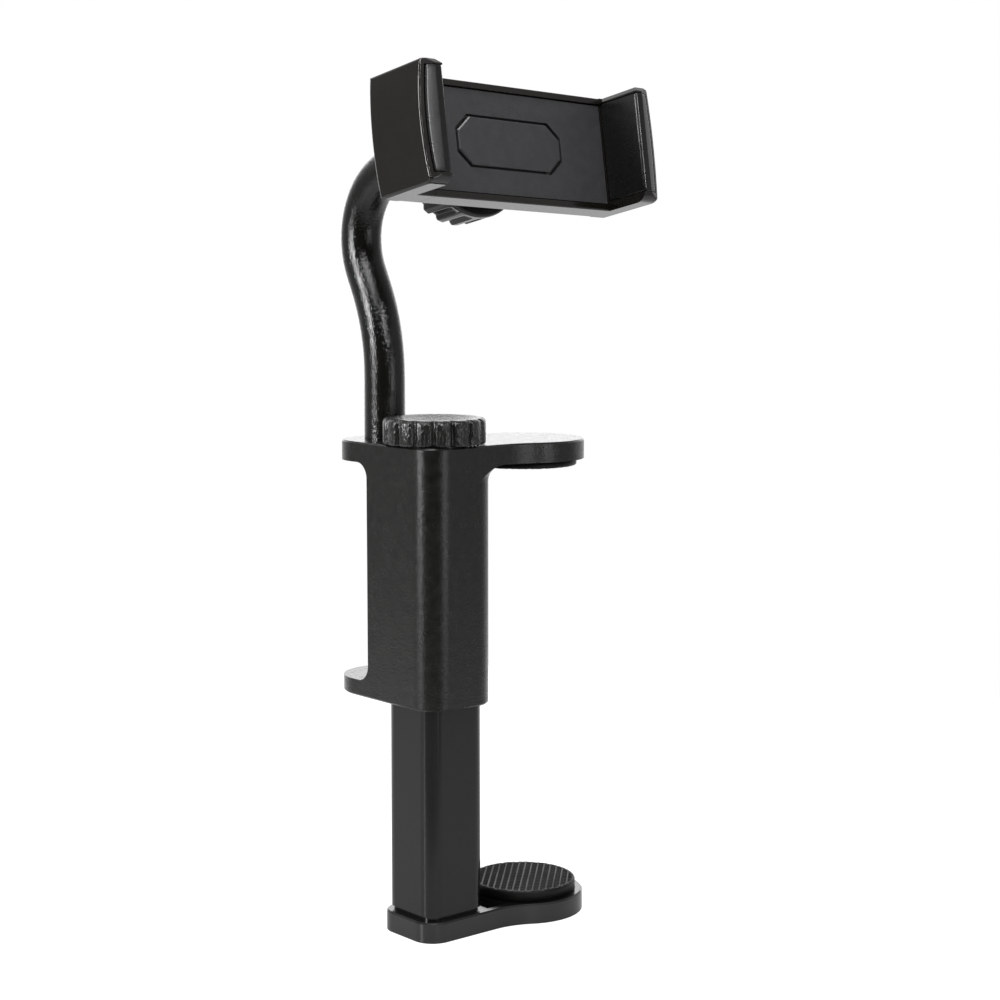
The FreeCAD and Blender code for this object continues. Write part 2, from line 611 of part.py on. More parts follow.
def ribbed_outline():
    """Draw the nut's outline: flat-topped ribs with flat-bottomed grooves between them."""
    floor_radius = NUT_RADIUS - NUT_GROOVE_DEPTH
    half_pitch = math.pi / NUT_RIBS
    half_rib = math.asin(NUT_RIB_WIDTH / (2 * NUT_RADIUS))
    half_floor = math.asin(NUT_GROOVE_FLOOR / (2 * floor_radius))
    points = []
    for index in range(NUT_RIBS):
        turn = 2 * half_pitch * index
        points += [polar(NUT_RADIUS, turn - half_rib), polar(NUT_RADIUS, turn + half_rib),
                   polar(floor_radius, turn + half_pitch - half_floor),
                   polar(floor_radius, turn + half_pitch + half_floor)]
    return Part.makePolygon(points + points[:1])


def make_socket_nut():
    """Ribbed nut over the socket, whose mouth keeps the ball in."""
    front = BOSS_BACK + SEAT_GAP
    back = BALL_BEHIND_FACE + NUT_PAST_BALL
    socket_back = BALL_BEHIND_FACE + SOCKET_PAST_BALL
    nut = cylinder_y(NUT_RADIUS, (front, back))
    nut = nut.makeChamfer(EDGE_ROUND, [edge for edge in nut.Edges if len(edge.Vertexes) == 1])
    collar = cylinder_y(NUT_RADIUS, (front, front + NUT_COLLAR))
    nut = nut.common(collar.fuse(prism_y(ribbed_outline(), (front + NUT_COLLAR, back))))
    nut = nut.cut(cylinder_y(SOCKET_RADIUS + RUNNING_GAP, (front, socket_back + AXIAL_PLAY)))
    nut = nut.cut(Part.makeSphere(BALL_RADIUS + RUNNING_GAP, Vector(0, BALL_BEHIND_FACE, 0)))
    return nut


def bowed_jaw(inner_x, edge_x, y_range):
    """Make a jaw block, straight on its inner side and bowed outwards on its outer side."""
    bow = JAW_BOW if edge_x > inner_x else -JAW_BOW
    low_in = Vector(inner_x, -HALF_HEIGHT, 0)
    low_out = Vector(edge_x, -HALF_HEIGHT, 0)
    high_out = Vector(edge_x, HALF_HEIGHT, 0)
    high_in = Vector(inner_x, HALF_HEIGHT, 0)
    outline = Part.Wire([
        Part.LineSegment(low_in, low_out).toShape(),
        Part.Arc(low_out, Vector(edge_x + bow, 0, 0), high_out).toShape(),
        Part.LineSegment(high_out, high_in).toShape(),
        Part.LineSegment(high_in, low_in).toShape(),
    ])
    return prism_y(outline, y_range)


def jaw_slope(inner_x, outer, front):
    """Make the wedge that slopes the outer half of a jaw's front backwards."""
    start = inner_x + outer * JAW_FLAT
    far = start + outer * 2 * JAW_PAD
    ahead = front - JAW_FLAT
    outline = Part.makePolygon([Vector(start, front, 0), Vector(start, ahead, 0), Vector(far, ahead, 0),
                                Vector(far, front + JAW_SLOPE * 2 * JAW_PAD, 0), Vector(start, front, 0)])
    return prism_z(outline, (-HOLDER_HEIGHT, HOLDER_HEIGHT))


def shaped_jaw(inner_x, edge_x):
    """Make a jaw with a round chin, rounded edges on its bowed side, a sloped front and a bevelled cap."""
    outer = 1 if edge_x > inner_x else -1
    jaw = bowed_jaw(inner_x, edge_x, (-JAW_REACH, HOLDER_DEPTH))
    chin = []
    for edge in jaw.Edges:
        bounds = edge.BoundBox
        if bounds.YMax < -JAW_REACH + NEAR and bounds.ZMax < -HALF_HEIGHT + NEAR:
            chin.append(edge)
    jaw = jaw.makeFillet(JAW_CHIN_ROUND, chin)
    rim = [edge for edge in jaw.Edges if outer * edge.CenterOfMass.x >= outer * edge_x - NEAR]
    jaw = jaw.makeFillet(JAW_ROUND, rim)
    jaw = jaw.cut(jaw_slope(inner_x, outer, -JAW_REACH))
    ridge = []
    for edge in jaw.Edges:
        bounds = edge.BoundBox
        if outer * edge.CenterOfMass.x > outer * edge_x and bounds.YMax < 0 and bounds.ZLength > HALF_HEIGHT:
            ridge.append(edge)
    jaw = jaw.makeFillet(EDGE_ROUND, ridge)
    low = HALF_HEIGHT - 2 * JAW_CAP_BEVEL
    high = HALF_HEIGHT + JAW_CAP_BEVEL
    front = -JAW_REACH - JAW_CAP_BEVEL
    front_cut = Part.makePolygon([Vector(front, low, 0), Vector(front, high, 0),
                                  Vector(front + 3 * JAW_CAP_BEVEL, high, 0), Vector(front, low, 0)])
    side = inner_x - outer * JAW_CAP_BEVEL
    side_cut = Part.makePolygon([Vector(side, low, 0), Vector(side, high, 0),
                                 Vector(side + outer * 3 * JAW_CAP_BEVEL, high, 0), Vector(side, low, 0)])
    far_x = edge_x + outer * 2 * JAW_BOW
    jaw = jaw.cut(prism_x(front_cut, (min(inner_x, far_x), max(inner_x, far_x))))
    return jaw.cut(prism_y(side_cut, (front, 0)))


def pad_space(face_x, back_x, gap):
    """Make the space of a jaw's rubber pad, from the phone's side to the shell behind it."""
    bow = JAW_BOW if back_x > face_x else -JAW_BOW
    x_range = (min(face_x, back_x + bow), max(face_x, back_x + bow))
    z_range = (-HALF_HEIGHT + PAD_BOTTOM_BORDER - gap, HALF_HEIGHT - PAD_TOP_BORDER + gap)
    y_range = (-JAW_REACH, -gap)
    return bowed_jaw(face_x, back_x, y_range).common(box(x_range, y_range, z_range))


def make_jaw_pad(face_x, back_x):
    """Rubber pad of one jaw, with the jaw's sloped front and a round edge towards the phone."""
    outer = 1 if back_x > face_x else -1
    pad = pad_space(face_x, back_x - outer * SEAT_GAP, 0)
    pad.translate(Vector(0, -SEAT_GAP, 0))
    pad = pad.cut(jaw_slope(face_x, outer, -JAW_REACH - SEAT_GAP))
    inner_edges = []
    for edge in pad.Edges:
        bounds = edge.BoundBox
        inside = outer * (edge.CenterOfMass.x - face_x) < NEAR
        if inside and bounds.YMax < -JAW_REACH and bounds.ZLength > HALF_HEIGHT:
            inner_edges.append(edge)
    return pad.makeFillet(PAD_FRONT_ROUND, inner_edges)


def octagon(grow):
    """Draw the octagon pad's outline, grown by a margin on every side."""
    wide = OCTAGON_HALF_WIDTH + grow
    high = OCTAGON_HALF_HEIGHT + grow
    inner_x = wide - OCTAGON_CUT_WIDTH
    inner_z = high - OCTAGON_CUT_HEIGHT
    quarter = [(inner_x, -high), (wide, -inner_z), (wide, inner_z), (inner_x, high)]
    points = quarter + [(-x, -z) for x, z in quarter]
    return Part.makePolygon([Vector(x, z, 0) for x, z in points + points[:1]])


def cover_screw_places():
    """List the four cover screws' places on the holder's back, as (x, z)."""
    left = COVER_LEFT + COVER_SCREW_INSET
    right = COVER_RIGHT - COVER_SCREW_INSET
    height = COVER_HALF_HEIGHT - COVER_SCREW_INSET
    return [(x, z) for x in (left, right) for z in (-height, height)]


def cover_outline(grow):
    """Draw the rear cover's outline, grown by a margin on every side."""
    return rounded_rectangle((COVER_LEFT - grow, COVER_RIGHT + grow),
                             (-COVER_HALF_HEIGHT - grow, COVER_HALF_HEIGHT + grow), COVER_CORNER, COVER_CORNER)


def holder_bar(x_range):
    """Make a stretch of the holder's plate, with its long edges rounded."""
    section = rounded_polygon([(y, z, EDGE_ROUND) for y, z in
                               ((0, -HALF_HEIGHT), (HOLDER_DEPTH, -HALF_HEIGHT), (HOLDER_DEPTH, HALF_HEIGHT),
                                (0, HALF_HEIGHT))])
    return prism_x(section, x_range)


def make_holder_body():
    """Front shell of the holder with its fixed jaw, panel recess, guide slot and spring cavity."""
    plate = holder_bar((-HOLDER_LEFT, FIXED_JAW_FACE))
    body = plate.fuse(shaped_jaw(FIXED_JAW_FACE, FIXED_JAW_EDGE)).removeSplitter()
    body = body.cut(pad_space(FIXED_JAW_FACE, FIXED_JAW_FACE + JAW_PAD, SEAT_GAP))
    rim = HALF_HEIGHT - RIM_WIDTH
    body = body.cut(box((-HOLDER_LEFT, FIXED_JAW_FACE), (0, PANEL_BACK), (-rim, rim)))
    cavity_y = (CAVITY_FRONT, CAVITY_BACK)
    slot_half = TONGUE_HALF_HEIGHT + SLIDE_GAP
    body = body.cut(box((-HOLDER_LEFT, CAVITY_RIGHT), cavity_y, (-slot_half, slot_half)))
    body = body.cut(box((CAVITY_LEFT, CAVITY_RIGHT), cavity_y, (-CAVITY_HALF_HEIGHT, CAVITY_HALF_HEIGHT)))
    body = body.cut(prism_y(cover_outline(SEAT_GAP), (CAVITY_BACK, HOLDER_DEPTH)))
    hole_y = (HOLDER_DEPTH - COVER_SCREW_LENGTH, HOLDER_DEPTH)
    for x, z in cover_screw_places():
        body = body.cut(cylinder_y(COVER_SCREW_RADIUS, hole_y, x, z))
    return body


def make_rear_cover():
    """Back cover of the holder with the boss and the cup for the ball."""
    cover = prism_y(cover_outline(0), (CAVITY_BACK, HOLDER_DEPTH))
    for x, z in cover_screw_places():
        cover = cover.cut(cylinder_y(COVER_SCREW_RADIUS + SEAT_GAP, (CAVITY_BACK, HOLDER_DEPTH), x, z))
        head_y = (HOLDER_DEPTH - COVER_SCREW_HEAD, HOLDER_DEPTH)
        cover = cover.cut(cylinder_y(COVER_SCREW_HEAD_RADIUS + SEAT_GAP, head_y, x, z))
    boss = cylinder_y(BOSS_RADIUS, (HOLDER_DEPTH, BOSS_BACK))
    socket = cylinder_y(SOCKET_RADIUS, (CAVITY_BACK, BALL_BEHIND_FACE + SOCKET_PAST_BALL))
    cover = cover.fuse([boss, socket]).removeSplitter()
    cup = BALL_RADIUS + RUNNING_GAP
    cover = cover.cut(Part.makeSphere(cup, Vector(0, BALL_BEHIND_FACE, 0)))
    return cover.cut(cylinder_y(cup, (BALL_BEHIND_FACE, BALL_BEHIND_FACE + SOCKET_PAST_BALL)))


def make_cover_screws():
    """Four screws of the rear cover."""
    screws = []
    for x, z in cover_screw_places():
        head = cylinder_y(COVER_SCREW_HEAD_RADIUS, (HOLDER_DEPTH - COVER_SCREW_HEAD, HOLDER_DEPTH), x, z)
        shank = cylinder_y(COVER_SCREW_RADIUS, (HOLDER_DEPTH - COVER_SCREW_LENGTH, HOLDER_DEPTH), x, z)
        screws.append(head.fuse(shank).removeSplitter())
    return Part.makeCompound(screws)


def make_back_panel():
    """Matt panel set into the holder's front, with the octagon's opening."""
    rim = HALF_HEIGHT - RIM_WIDTH - OCTAGON_GROOVE / 2
    panel = box((-HOLDER_LEFT + SEAT_GAP, FIXED_JAW_FACE - SEAT_GAP), (PANEL_INSET, PANEL_BACK), (-rim, rim))
    return panel.cut(prism_y(octagon(OCTAGON_GROOVE), (PANEL_INSET, PANEL_BACK)))


def make_octagon_pad():
    """Raised octagonal pad in the middle of the panel."""
    front = PANEL_INSET - OCTAGON_PROUD
    pad = prism_y(octagon(0), (front, PANEL_BACK))
    return pad.makeChamfer(OCTAGON_BEVEL, [edge for edge in pad.Edges if edge.BoundBox.YMax < front + NEAR])


def make_sliding_jaw():
    """Sliding jaw: bowed wall, end block and the tongue with its spring yoke inside the holder."""
    wall = shaped_jaw(SLIDING_JAW_FACE, SLIDING_JAW_EDGE)
    block = holder_bar((SLIDING_JAW_FACE, -HOLDER_LEFT - SEAT_GAP))
    tongue_y = (CAVITY_FRONT + SEAT_GAP, CAVITY_BACK - SEAT_GAP)
    tongue = box((SLIDING_JAW_FACE, TONGUE_END), tongue_y, (-TONGUE_HALF_HEIGHT, TONGUE_HALF_HEIGHT))
    yoke = box((YOKE_START, TONGUE_END), tongue_y, (-YOKE_HALF_HEIGHT, YOKE_HALF_HEIGHT))
    jaw = wall.fuse([block, tongue, yoke]).removeSplitter()
    return jaw.cut(pad_space(SLIDING_JAW_FACE, SLIDING_JAW_FACE - JAW_PAD, SEAT_GAP))


def make_jaw_springs():
    """Two coil springs between the yoke and the end of the cavity."""
    middle_y = (CAVITY_FRONT + CAVITY_BACK) / 2
    coil_radius = SPRING_RADIUS - SPRING_WIRE
    length = SPRING_LENGTH - 2 * SPRING_WIRE
    springs = []
    for side in (-1, 1):
        helix = Part.makeHelix(length / SPRING_TURNS, length, coil_radius)
        low = coil_radius - SPRING_WIRE
        high = coil_radius + SPRING_WIRE
        corners = [Vector(low, 0, -SPRING_WIRE), Vector(high, 0, -SPRING_WIRE), Vector(high, 0, SPRING_WIRE),
                   Vector(low, 0, SPRING_WIRE)]
        wire = Part.makePolygon(corners + corners[:1])
        coil = Part.Wire(helix.Edges).makePipeShell([wire], True, True)
        coil.rotate(Vector(0, 0, 0), Y_AXIS, 90)
        coil.translate(Vector(TONGUE_END + SPRING_WIRE, middle_y, side * SPRING_AXIS_Z))
        springs.append(coil)
    return Part.makeCompound(springs)


def holder_placement():
    """Work out how the holder's own frame stands on the ball."""
    turn = FreeCAD.Rotation(Y_AXIS, HOLDER_TURN_DEG)
    tilt = FreeCAD.Rotation(X_AXIS, HOLDER_TILT_DEG)
    spin = FreeCAD.Rotation(Y_AXIS, HOLDER_SPIN_DEG)
    rotation = turn.multiply(tilt).multiply(spin)
    return FreeCAD.Placement(BALL_CENTRE - rotation.multVec(Vector(0, BALL_BEHIND_FACE, 0)), rotation)


def clamp_parts():
    """Collect the pieces of the clamp and the rod by name."""
    return {
        "clamp_sleeve": make_clamp_sleeve(),
        "upper_jaw_pad": make_upper_jaw_pad(),
        "thrust_washer": make_thrust_washer(),
        "clamp_knob": make_clamp_knob(),
        "lead_screw": make_lead_screw(),
        "screw_collar": make_screw_collar(),
        "lower_tube": make_lower_tube(),
        "lead_nut": make_lead_nut(),
        "tube_base_plug": make_base_plug(),
        "foot_plate": make_foot_plate(),
        "foot_pad": make_foot_pad(),
        "foot_screws": make_foot_screws(),
        "support_rod": make_support_rod(),
        "spindle_washer": make_spindle_washer(),
        "spindle_clip": make_spindle_clip(),
        "ball_stud": make_ball_stud(),
    }


def holder_parts():
    """Collect the pieces of the phone holder by name, in the holder's own frame."""
    return {
        "socket_nut": make_socket_nut(),
        "holder_body": make_holder_body(),
        "holder_rear_cover": make_rear_cover(),
        "cover_screws": make_cover_screws(),
        "back_panel": make_back_panel(),
        "octagon_pad": make_octagon_pad(),
        "fixed_jaw_pad": make_jaw_pad(FIXED_JAW_FACE, FIXED_JAW_FACE + JAW_PAD),
        "sliding_jaw": make_sliding_jaw(),
        "sliding_jaw_pad": make_jaw_pad(SLIDING_JAW_FACE, SLIDING_JAW_FACE - JAW_PAD),
        "jaw_springs": make_jaw_springs(),
    }


def main():
    """Build every piece and write one file for each."""
    os.makedirs("parts", exist_ok=True)
    placement = holder_placement()
    pieces = clamp_parts()
    for name, shape in holder_parts().items():
        shape.Placement = placement.multiply(shape.Placement)
        pieces[name] = shape
    for name, shape in pieces.items():
        shape.exportStep(f"parts/{name}.step")


main()
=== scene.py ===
"""Looks of a table-edge clamp with a bent rod and a sprung phone holder, in metres, in the frame of its solids.

The solids stand on the floor at the origin, with the clamp arms along +X and the rod's ears along +Y. The phone
holder faces -Y. Pieces that the solids keep plain are made here as computed surfaces, and every surface gets its
finish.
"""

import json
import logging
import math
from dataclasses import dataclass, field, replace
from enum import Enum
from typing import Any

import bmesh
import bpy
import numpy as np
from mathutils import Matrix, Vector


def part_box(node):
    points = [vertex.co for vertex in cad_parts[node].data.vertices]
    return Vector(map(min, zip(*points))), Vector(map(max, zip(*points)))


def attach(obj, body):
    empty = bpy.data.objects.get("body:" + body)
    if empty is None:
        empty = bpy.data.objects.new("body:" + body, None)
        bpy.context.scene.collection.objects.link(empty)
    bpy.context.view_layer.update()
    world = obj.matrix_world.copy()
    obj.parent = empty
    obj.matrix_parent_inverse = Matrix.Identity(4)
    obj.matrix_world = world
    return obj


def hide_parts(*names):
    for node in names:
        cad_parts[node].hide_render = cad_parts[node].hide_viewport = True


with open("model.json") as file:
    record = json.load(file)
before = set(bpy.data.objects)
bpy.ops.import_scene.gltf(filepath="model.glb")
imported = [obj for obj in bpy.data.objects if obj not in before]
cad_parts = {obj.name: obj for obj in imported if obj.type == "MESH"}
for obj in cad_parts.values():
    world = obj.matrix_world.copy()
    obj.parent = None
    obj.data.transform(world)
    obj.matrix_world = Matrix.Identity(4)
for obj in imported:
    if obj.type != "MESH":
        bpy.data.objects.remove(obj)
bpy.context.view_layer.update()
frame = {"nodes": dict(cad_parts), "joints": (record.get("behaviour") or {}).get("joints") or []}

log = logging.getLogger("phone_clamp")

MM = 0.001
MERGE_DISTANCE = 1e-6
ARC_STEPS = 6

PATCH_DETAIL = 3.0
PATCH_ROUGHNESS = 0.6
SAND_DETAIL = 4.0
PEEL_DETAIL = 1.0
GRAIN_ROUGHNESS = 0.65
BLOW_ROUGHNESS = 0.5
FINE_BLOW_RATE = 2.3
FINE_BLOW_SHARE = 0.4

WHITE = (1.0, 1.0, 1.0, 1.0)

Colour = tuple[float, float, float]
Triple = tuple[float, float, float]
Pair = tuple[float, float]


def box_mm(node: str) -> tuple[np.ndarray, np.ndarray]:
    """Give a node's lowest and highest corners at rest, in millimetres."""
    low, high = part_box(node)
    return np.array(low) / MM, np.array(high) / MM


def joint_row(name: str) -> dict[str, Any]:
    """Give the frame's entry of a joint."""
    return next(row for row in frame["joints"] if row["name"] == name)


def smooth(low: float, high: float, value: np.ndarray) -> np.ndarray:
    """Rise from 0 at low to 1 at high with level ends: 3t^2 - 2t^3, where t is the clipped share of the way.

    Args:
        low: Value where the rise starts.
        high: Value where the rise ends.
        value: Any array.

    Returns:
        An array of the same shape, from 0 to 1.
    """
    share = np.clip((value - low) / (high - low), 0.0, 1.0)
    return share * share * (3.0 - 2.0 * share)


def rounded_path(corners: list[Pair], radii: tuple[float, ...]) -> np.ndarray:
    """Draw an open path through corners, with a tangent arc in place of each inner corner.

    The arc's centre lies on the corner's bisector at radius / sin(half the corner's angle), and its points turn
    evenly from one tangent point to the other.

    Args:
        corners: Corner points in order, the first and last of which are kept.
        radii: Radius at each inner corner.

    Returns:
        Array of shape (points, 2), with ARC_STEPS points for each inner corner.
    """
    points = np.array(corners, dtype=float)
    here = points[1:-1]
    back = points[:-2] - here
    ahead = points[2:] - here
    back /= np.linalg.norm(back, axis=1, keepdims=True)
    ahead /= np.linalg.norm(ahead, axis=1, keepdims=True)
    radius = np.array(radii, dtype=float)[:, None]
    half = np.arccos(np.clip(np.sum(back * ahead, axis=1, keepdims=True), -1, 1)) / 2
    inward = back + ahead
    inward /= np.linalg.norm(inward, axis=1, keepdims=True)
    centre = here + inward * radius / np.sin(half)
    reach = radius / np.tan(half)
    first = (here + back * reach - centre)[:, None, :]
    last = (here + ahead * reach - centre)[:, None, :]
    turn = (math.pi - 2 * half)[:, None, :]
    share = np.linspace(0, 1, ARC_STEPS)[None, :, None]
    swept = (np.sin((1 - share) * turn) * first + np.sin(share * turn) * last) / np.sin(turn)
    arcs = centre[:, None, :] + swept
    return np.vstack([points[:1], arcs.reshape(-1, 2), points[-1:]])


def revolve(profile: np.ndarray, columns: int) -> tuple[np.ndarray, np.ndarray, np.ndarray]:
    """Carry a profile round an axis on a grid of profile point by angle.

    Args:
        profile: Array of (radius, height) points.
        columns: Number of equal angles.

    Returns:
        Radius, height and angle at each grid point, each of shape (points, columns).
    """
    turns = np.linspace(0, 2 * math.pi, columns, endpoint=False)
    radius = np.repeat(profile[:, :1], columns, axis=1)
    height = np.repeat(profile[:, 1:], columns, axis=1)
    return radius, height, np.broadcast_to(turns, radius.shape)


def grid_mesh(name: str, points: np.ndarray, ring: bool = False) -> bpy.types.Mesh:
    """Skin a grid of points: each cell is one face, the last column joins the first, and poles are merged.

    Args:
        name: Name of the mesh.
        points: Array of shape (rows, columns, 3) in millimetres.
        ring: Whether the last row joins the first too.

    Returns:
        A closed, smooth mesh in metres with its faces outwards.
    """
    rows, columns = points.shape[:2]
    index = np.arange(rows * columns, dtype=np.int32).reshape(rows, columns)
    if ring:
        index = np.vstack([index, index[:1]])
    index = np.hstack([index, index[:, :1]])
    faces = np.stack([index[:-1, :-1], index[:-1, 1:], index[1:, 1:], index[1:, :-1]], axis=-1).reshape(-1, 4)
    mesh = bpy.data.meshes.new(name)
    mesh.vertices.add(rows * columns)
    mesh.vertices.foreach_set("co", (points * MM).astype(np.float32).ravel())
    mesh.loops.add(faces.size)
    mesh.loops.foreach_set("vertex_index", faces.ravel())
    mesh.polygons.add(len(faces))
    mesh.polygons.foreach_set("loop_start", np.arange(0, faces.size, 4, dtype=np.int32))
    mesh.update(calc_edges=True)
    tidy = bmesh.new()
    tidy.from_mesh(mesh)
    bmesh.ops.remove_doubles(tidy, verts=tidy.verts, dist=MERGE_DISTANCE)
    bmesh.ops.recalc_face_normals(tidy, faces=tidy.faces)
    tidy.to_mesh(mesh)
    tidy.free()
    mesh.shade_smooth()
    return mesh


def joined_mesh(name: str, grids: list[np.ndarray]) -> bpy.types.Mesh:
    """Skin several closed grids into one mesh.

    Args:
        name: Name of the mesh.
        grids: Arrays of shape (rows, columns, 3) in millimetres.

    Returns:
        The new mesh.
    """
    whole = bmesh.new()
    for grid in grids:
        part = grid_mesh(name, grid)
        whole.from_mesh(part)
        bpy.data.meshes.remove(part)
    mesh = bpy.data.meshes.new(name)
    whole.to_mesh(mesh)
    whole.free()
    mesh.shade_smooth()
    return mesh


class NodeGraph:
    """The node tree of one material or world, with short ways to add and join nodes."""

    def __init__(self, tree: bpy.types.NodeTree) -> None:
        """Take over a tree and empty it.

        Args:
            tree: The node tree of a material or world.
        """
        self.tree = tree
        self.tree.nodes.clear()

    def add(self, kind: str, feeds: dict[str | int, Any] | None = None, **settings: Any) -> bpy.types.Node:
        """Add a node and fill its inputs.

        Args:
            kind: Blender's name for the node type.
            feeds: Input name or number to a socket, which is linked, or a value, which is set.
            **settings: Properties of the node itself.

        Returns:
            The new node.
        """
        node = self.tree.nodes.new(kind)
        for key, value in settings.items():
            setattr(node, key, value)
        for key, value in (feeds or {}).items():
            if isinstance(value, bpy.types.NodeSocket):
                self.tree.links.new(value, node.inputs[key])
            else:
                node.inputs[key].default_value = value
        return node

    def math(self, operation: str, first: Any, second: Any) -> bpy.types.NodeSocket:
        """Join two values by arithmetic and return the result's socket."""
        return self.add("ShaderNodeMath", {0: first, 1: second}, operation=operation).outputs[0]

    def largest(self, first: Any, *others: Any) -> bpy.types.NodeSocket:
        """Take the largest of several values.

        Args:
            first: Socket of one value.
            *others: Sockets of the others.

        Returns:
            The result's socket.
        """
        for other in others:
            first = self.math("MAXIMUM", first, other)
        return first

    def dot(self, first: Any, second: Any) -> bpy.types.NodeSocket:
        """Take the dot product of two vectors and return its socket."""
        return self.add("ShaderNodeVectorMath", {0: first, 1: second}, operation="DOT_PRODUCT").outputs["Value"]

    def noise(self, place: Any, size: float, detail: float, roughness: float) -> bpy.types.NodeSocket:
        """Add noise with grains about one size wide and return its value's socket."""
        return self.add("ShaderNodeTexNoise", {
            "Vector": place, "Scale": 1 / size, "Detail": detail, "Roughness": roughness}).outputs["Fac"]

    def mix(self, share: Any, first: Any, second: Any) -> bpy.types.NodeSocket:
        """Mix two numbers by a share from 0 to 1 and return the result's socket."""
        feeds = {"Factor": share, "A": first, "B": second}
        return self.add("ShaderNodeMix", feeds, data_type="FLOAT").outputs["Result"]

    def tint(self, share: Any, dark: Colour, light: Colour) -> bpy.types.NodeSocket:
        """Mix two colours by a share from 0 to 1 and return the colour's socket."""
        feeds = {"Factor": share, "A": (*dark, 1), "B": (*light, 1)}
        return self.add("ShaderNodeMix", feeds, data_type="RGBA").outputs["Result"]

    def spread(self, value: Any, low: float, high: float, span: Pair = (0.0, 1.0),
               eased: bool = False) -> bpy.types.NodeSocket:
        """Map a span of values onto another.

        Args:
            value: Socket of the value.
            low: Result at the span's start.
            high: Result at the span's end.
            span: Start and end of the value's span.
            eased: Whether the rise has level ends.

        Returns:
            The result's socket.
        """
        feeds = {"Value": value, "From Min": span[0], "From Max": span[1], "To Min": low, "To Max": high}
        interpolation = "SMOOTHSTEP" if eased else "LINEAR"
        return self.add("ShaderNodeMapRange", feeds, interpolation_type=interpolation).outputs["Result"]


class Grain(Enum):
    """Kinds of small relief on a surface."""

    SAND = "sand"
    PEEL = "peel"
    HAMMERED = "hammered"


@dataclass(frozen=True)
class Finish:
    """A surface finish: colour with mottling, gloss with patches, and two scales of relief.

    Attributes:
        name: Plain name of the finish.
        colour: Linear colour.
        roughness: Mean roughness.
        grain: Kind of the fine relief.
        grain_size: Width of one grain in metres.
        grain_depth: Depth of the grain in metres.
        patch_size: Width of the larger unevenness in metres.
        patch_depth: Depth of the larger unevenness in metres.
        mottling: Share by which the colour varies from patch to patch.
        gloss_spread: Amount by which the roughness varies.
        specular: Level of the plain reflection, where 0.5 is usual for paint and plastic.
        metallic: 1 for bare metal.
        stretch: Scale of the grain's coordinates along X, Y and Z, where less than 1 draws the grain out.
    """

    name: str
    colour: Colour
    roughness: float
    grain: Grain = Grain.SAND
    grain_size: float = 0.4 * MM
    grain_depth: float = 0.01 * MM
    patch_size: float = 3.0 * MM
    patch_depth: float = 0.0
    mottling: float = 0.1
    gloss_spread: float = 0.05
    specular: float = 0.5
    metallic: float = 0.0
    stretch: Triple = (1.0, 1.0, 1.0)

    def build(self) -> bpy.types.Material:
        """Make the material with its nodes.

        Returns:
            The new material.
        """
        material = bpy.data.materials.new(self.name)
        material.use_nodes = True
        graph = NodeGraph(material.node_tree)
        place = graph.add("ShaderNodeTexCoord").outputs["Object"]
        patches = graph.noise(place, self.patch_size, PATCH_DETAIL, PATCH_ROUGHNESS)
        relief = self._relief(graph, place)
        normal = graph.add("ShaderNodeBump", {"Strength": 1.0, "Distance": self.grain_depth, "Height": relief})
        if self.patch_depth > 0:
            normal = graph.add("ShaderNodeBump", {
                "Strength": 1.0, "Distance": self.patch_depth, "Height": patches, "Normal": normal.outputs["Normal"]})
        dark = tuple(c * (1 - self.mottling) for c in self.colour)
        light = tuple(c * (1 + self.mottling) for c in self.colour)
        glossy, dull = self.roughness - self.gloss_spread, self.roughness + self.gloss_spread
        shader = graph.add("ShaderNodeBsdfPrincipled", {
            "Base Color": graph.tint(patches, dark, light),
            "Roughness": graph.spread(patches, glossy, dull),
            "Normal": normal.outputs["Normal"],
            "Specular IOR Level": self.specular,
            "Metallic": self.metallic,
        })
        graph.add("ShaderNodeOutputMaterial", {"Surface": shader.outputs["BSDF"]})
        return material

    def _relief(self, graph: NodeGraph, place: bpy.types.NodeSocket) -> bpy.types.NodeSocket:
        """Add the nodes of the fine relief.

        Args:
            graph: The material's nodes.
            place: Socket with the point on the object.

        Returns:
            Socket with the relief's height, from 0 to 1, or a little more where it is hammered.
        """
        place = graph.add("ShaderNodeVectorMath", {0: place, 1: self.stretch}, operation="MULTIPLY").outputs["Vector"]
        if self.grain is Grain.HAMMERED:
            blows = graph.noise(place, self.grain_size, PEEL_DETAIL, BLOW_ROUGHNESS)
            fine = graph.noise(place, self.grain_size / FINE_BLOW_RATE, PEEL_DETAIL, BLOW_ROUGHNESS)
            return graph.math("ADD", blows, graph.math("MULTIPLY", fine, FINE_BLOW_SHARE))
        detail = SAND_DETAIL if self.grain is Grain.SAND else PEEL_DETAIL
        return graph.noise(place, self.grain_size, detail, GRAIN_ROUGHNESS)


SLEEVE_COAT = Finish(
    "sleeve_sand_texture", (0.004, 0.004, 0.0033), roughness=0.25, grain=Grain.SAND, grain_size=0.6 * MM,
    grain_depth=0.08 * MM, patch_size=2.2 * MM, patch_depth=0.07 * MM, mottling=0.9, gloss_spread=0.08, specular=0.48)
TUBE_COAT = Finish(
    "tube_satin", (0.004, 0.004, 0.004), roughness=0.17, grain=Grain.PEEL, grain_size=0.35 * MM,
    grain_depth=0.004 * MM, patch_size=6 * MM, gloss_spread=0.03, specular=0.37)
FOOT_COAT = replace(TUBE_COAT, name="foot_satin", colour=(0.005, 0.005, 0.005), specular=0.6)
ROD_COAT = Finish(
    "rod_gloss_peel", (0.003, 0.003, 0.0024), roughness=0.14, grain=Grain.PEEL, grain_size=0.5 * MM,
    grain_depth=0.12 * MM, mottling=0.2, specular=0.45)
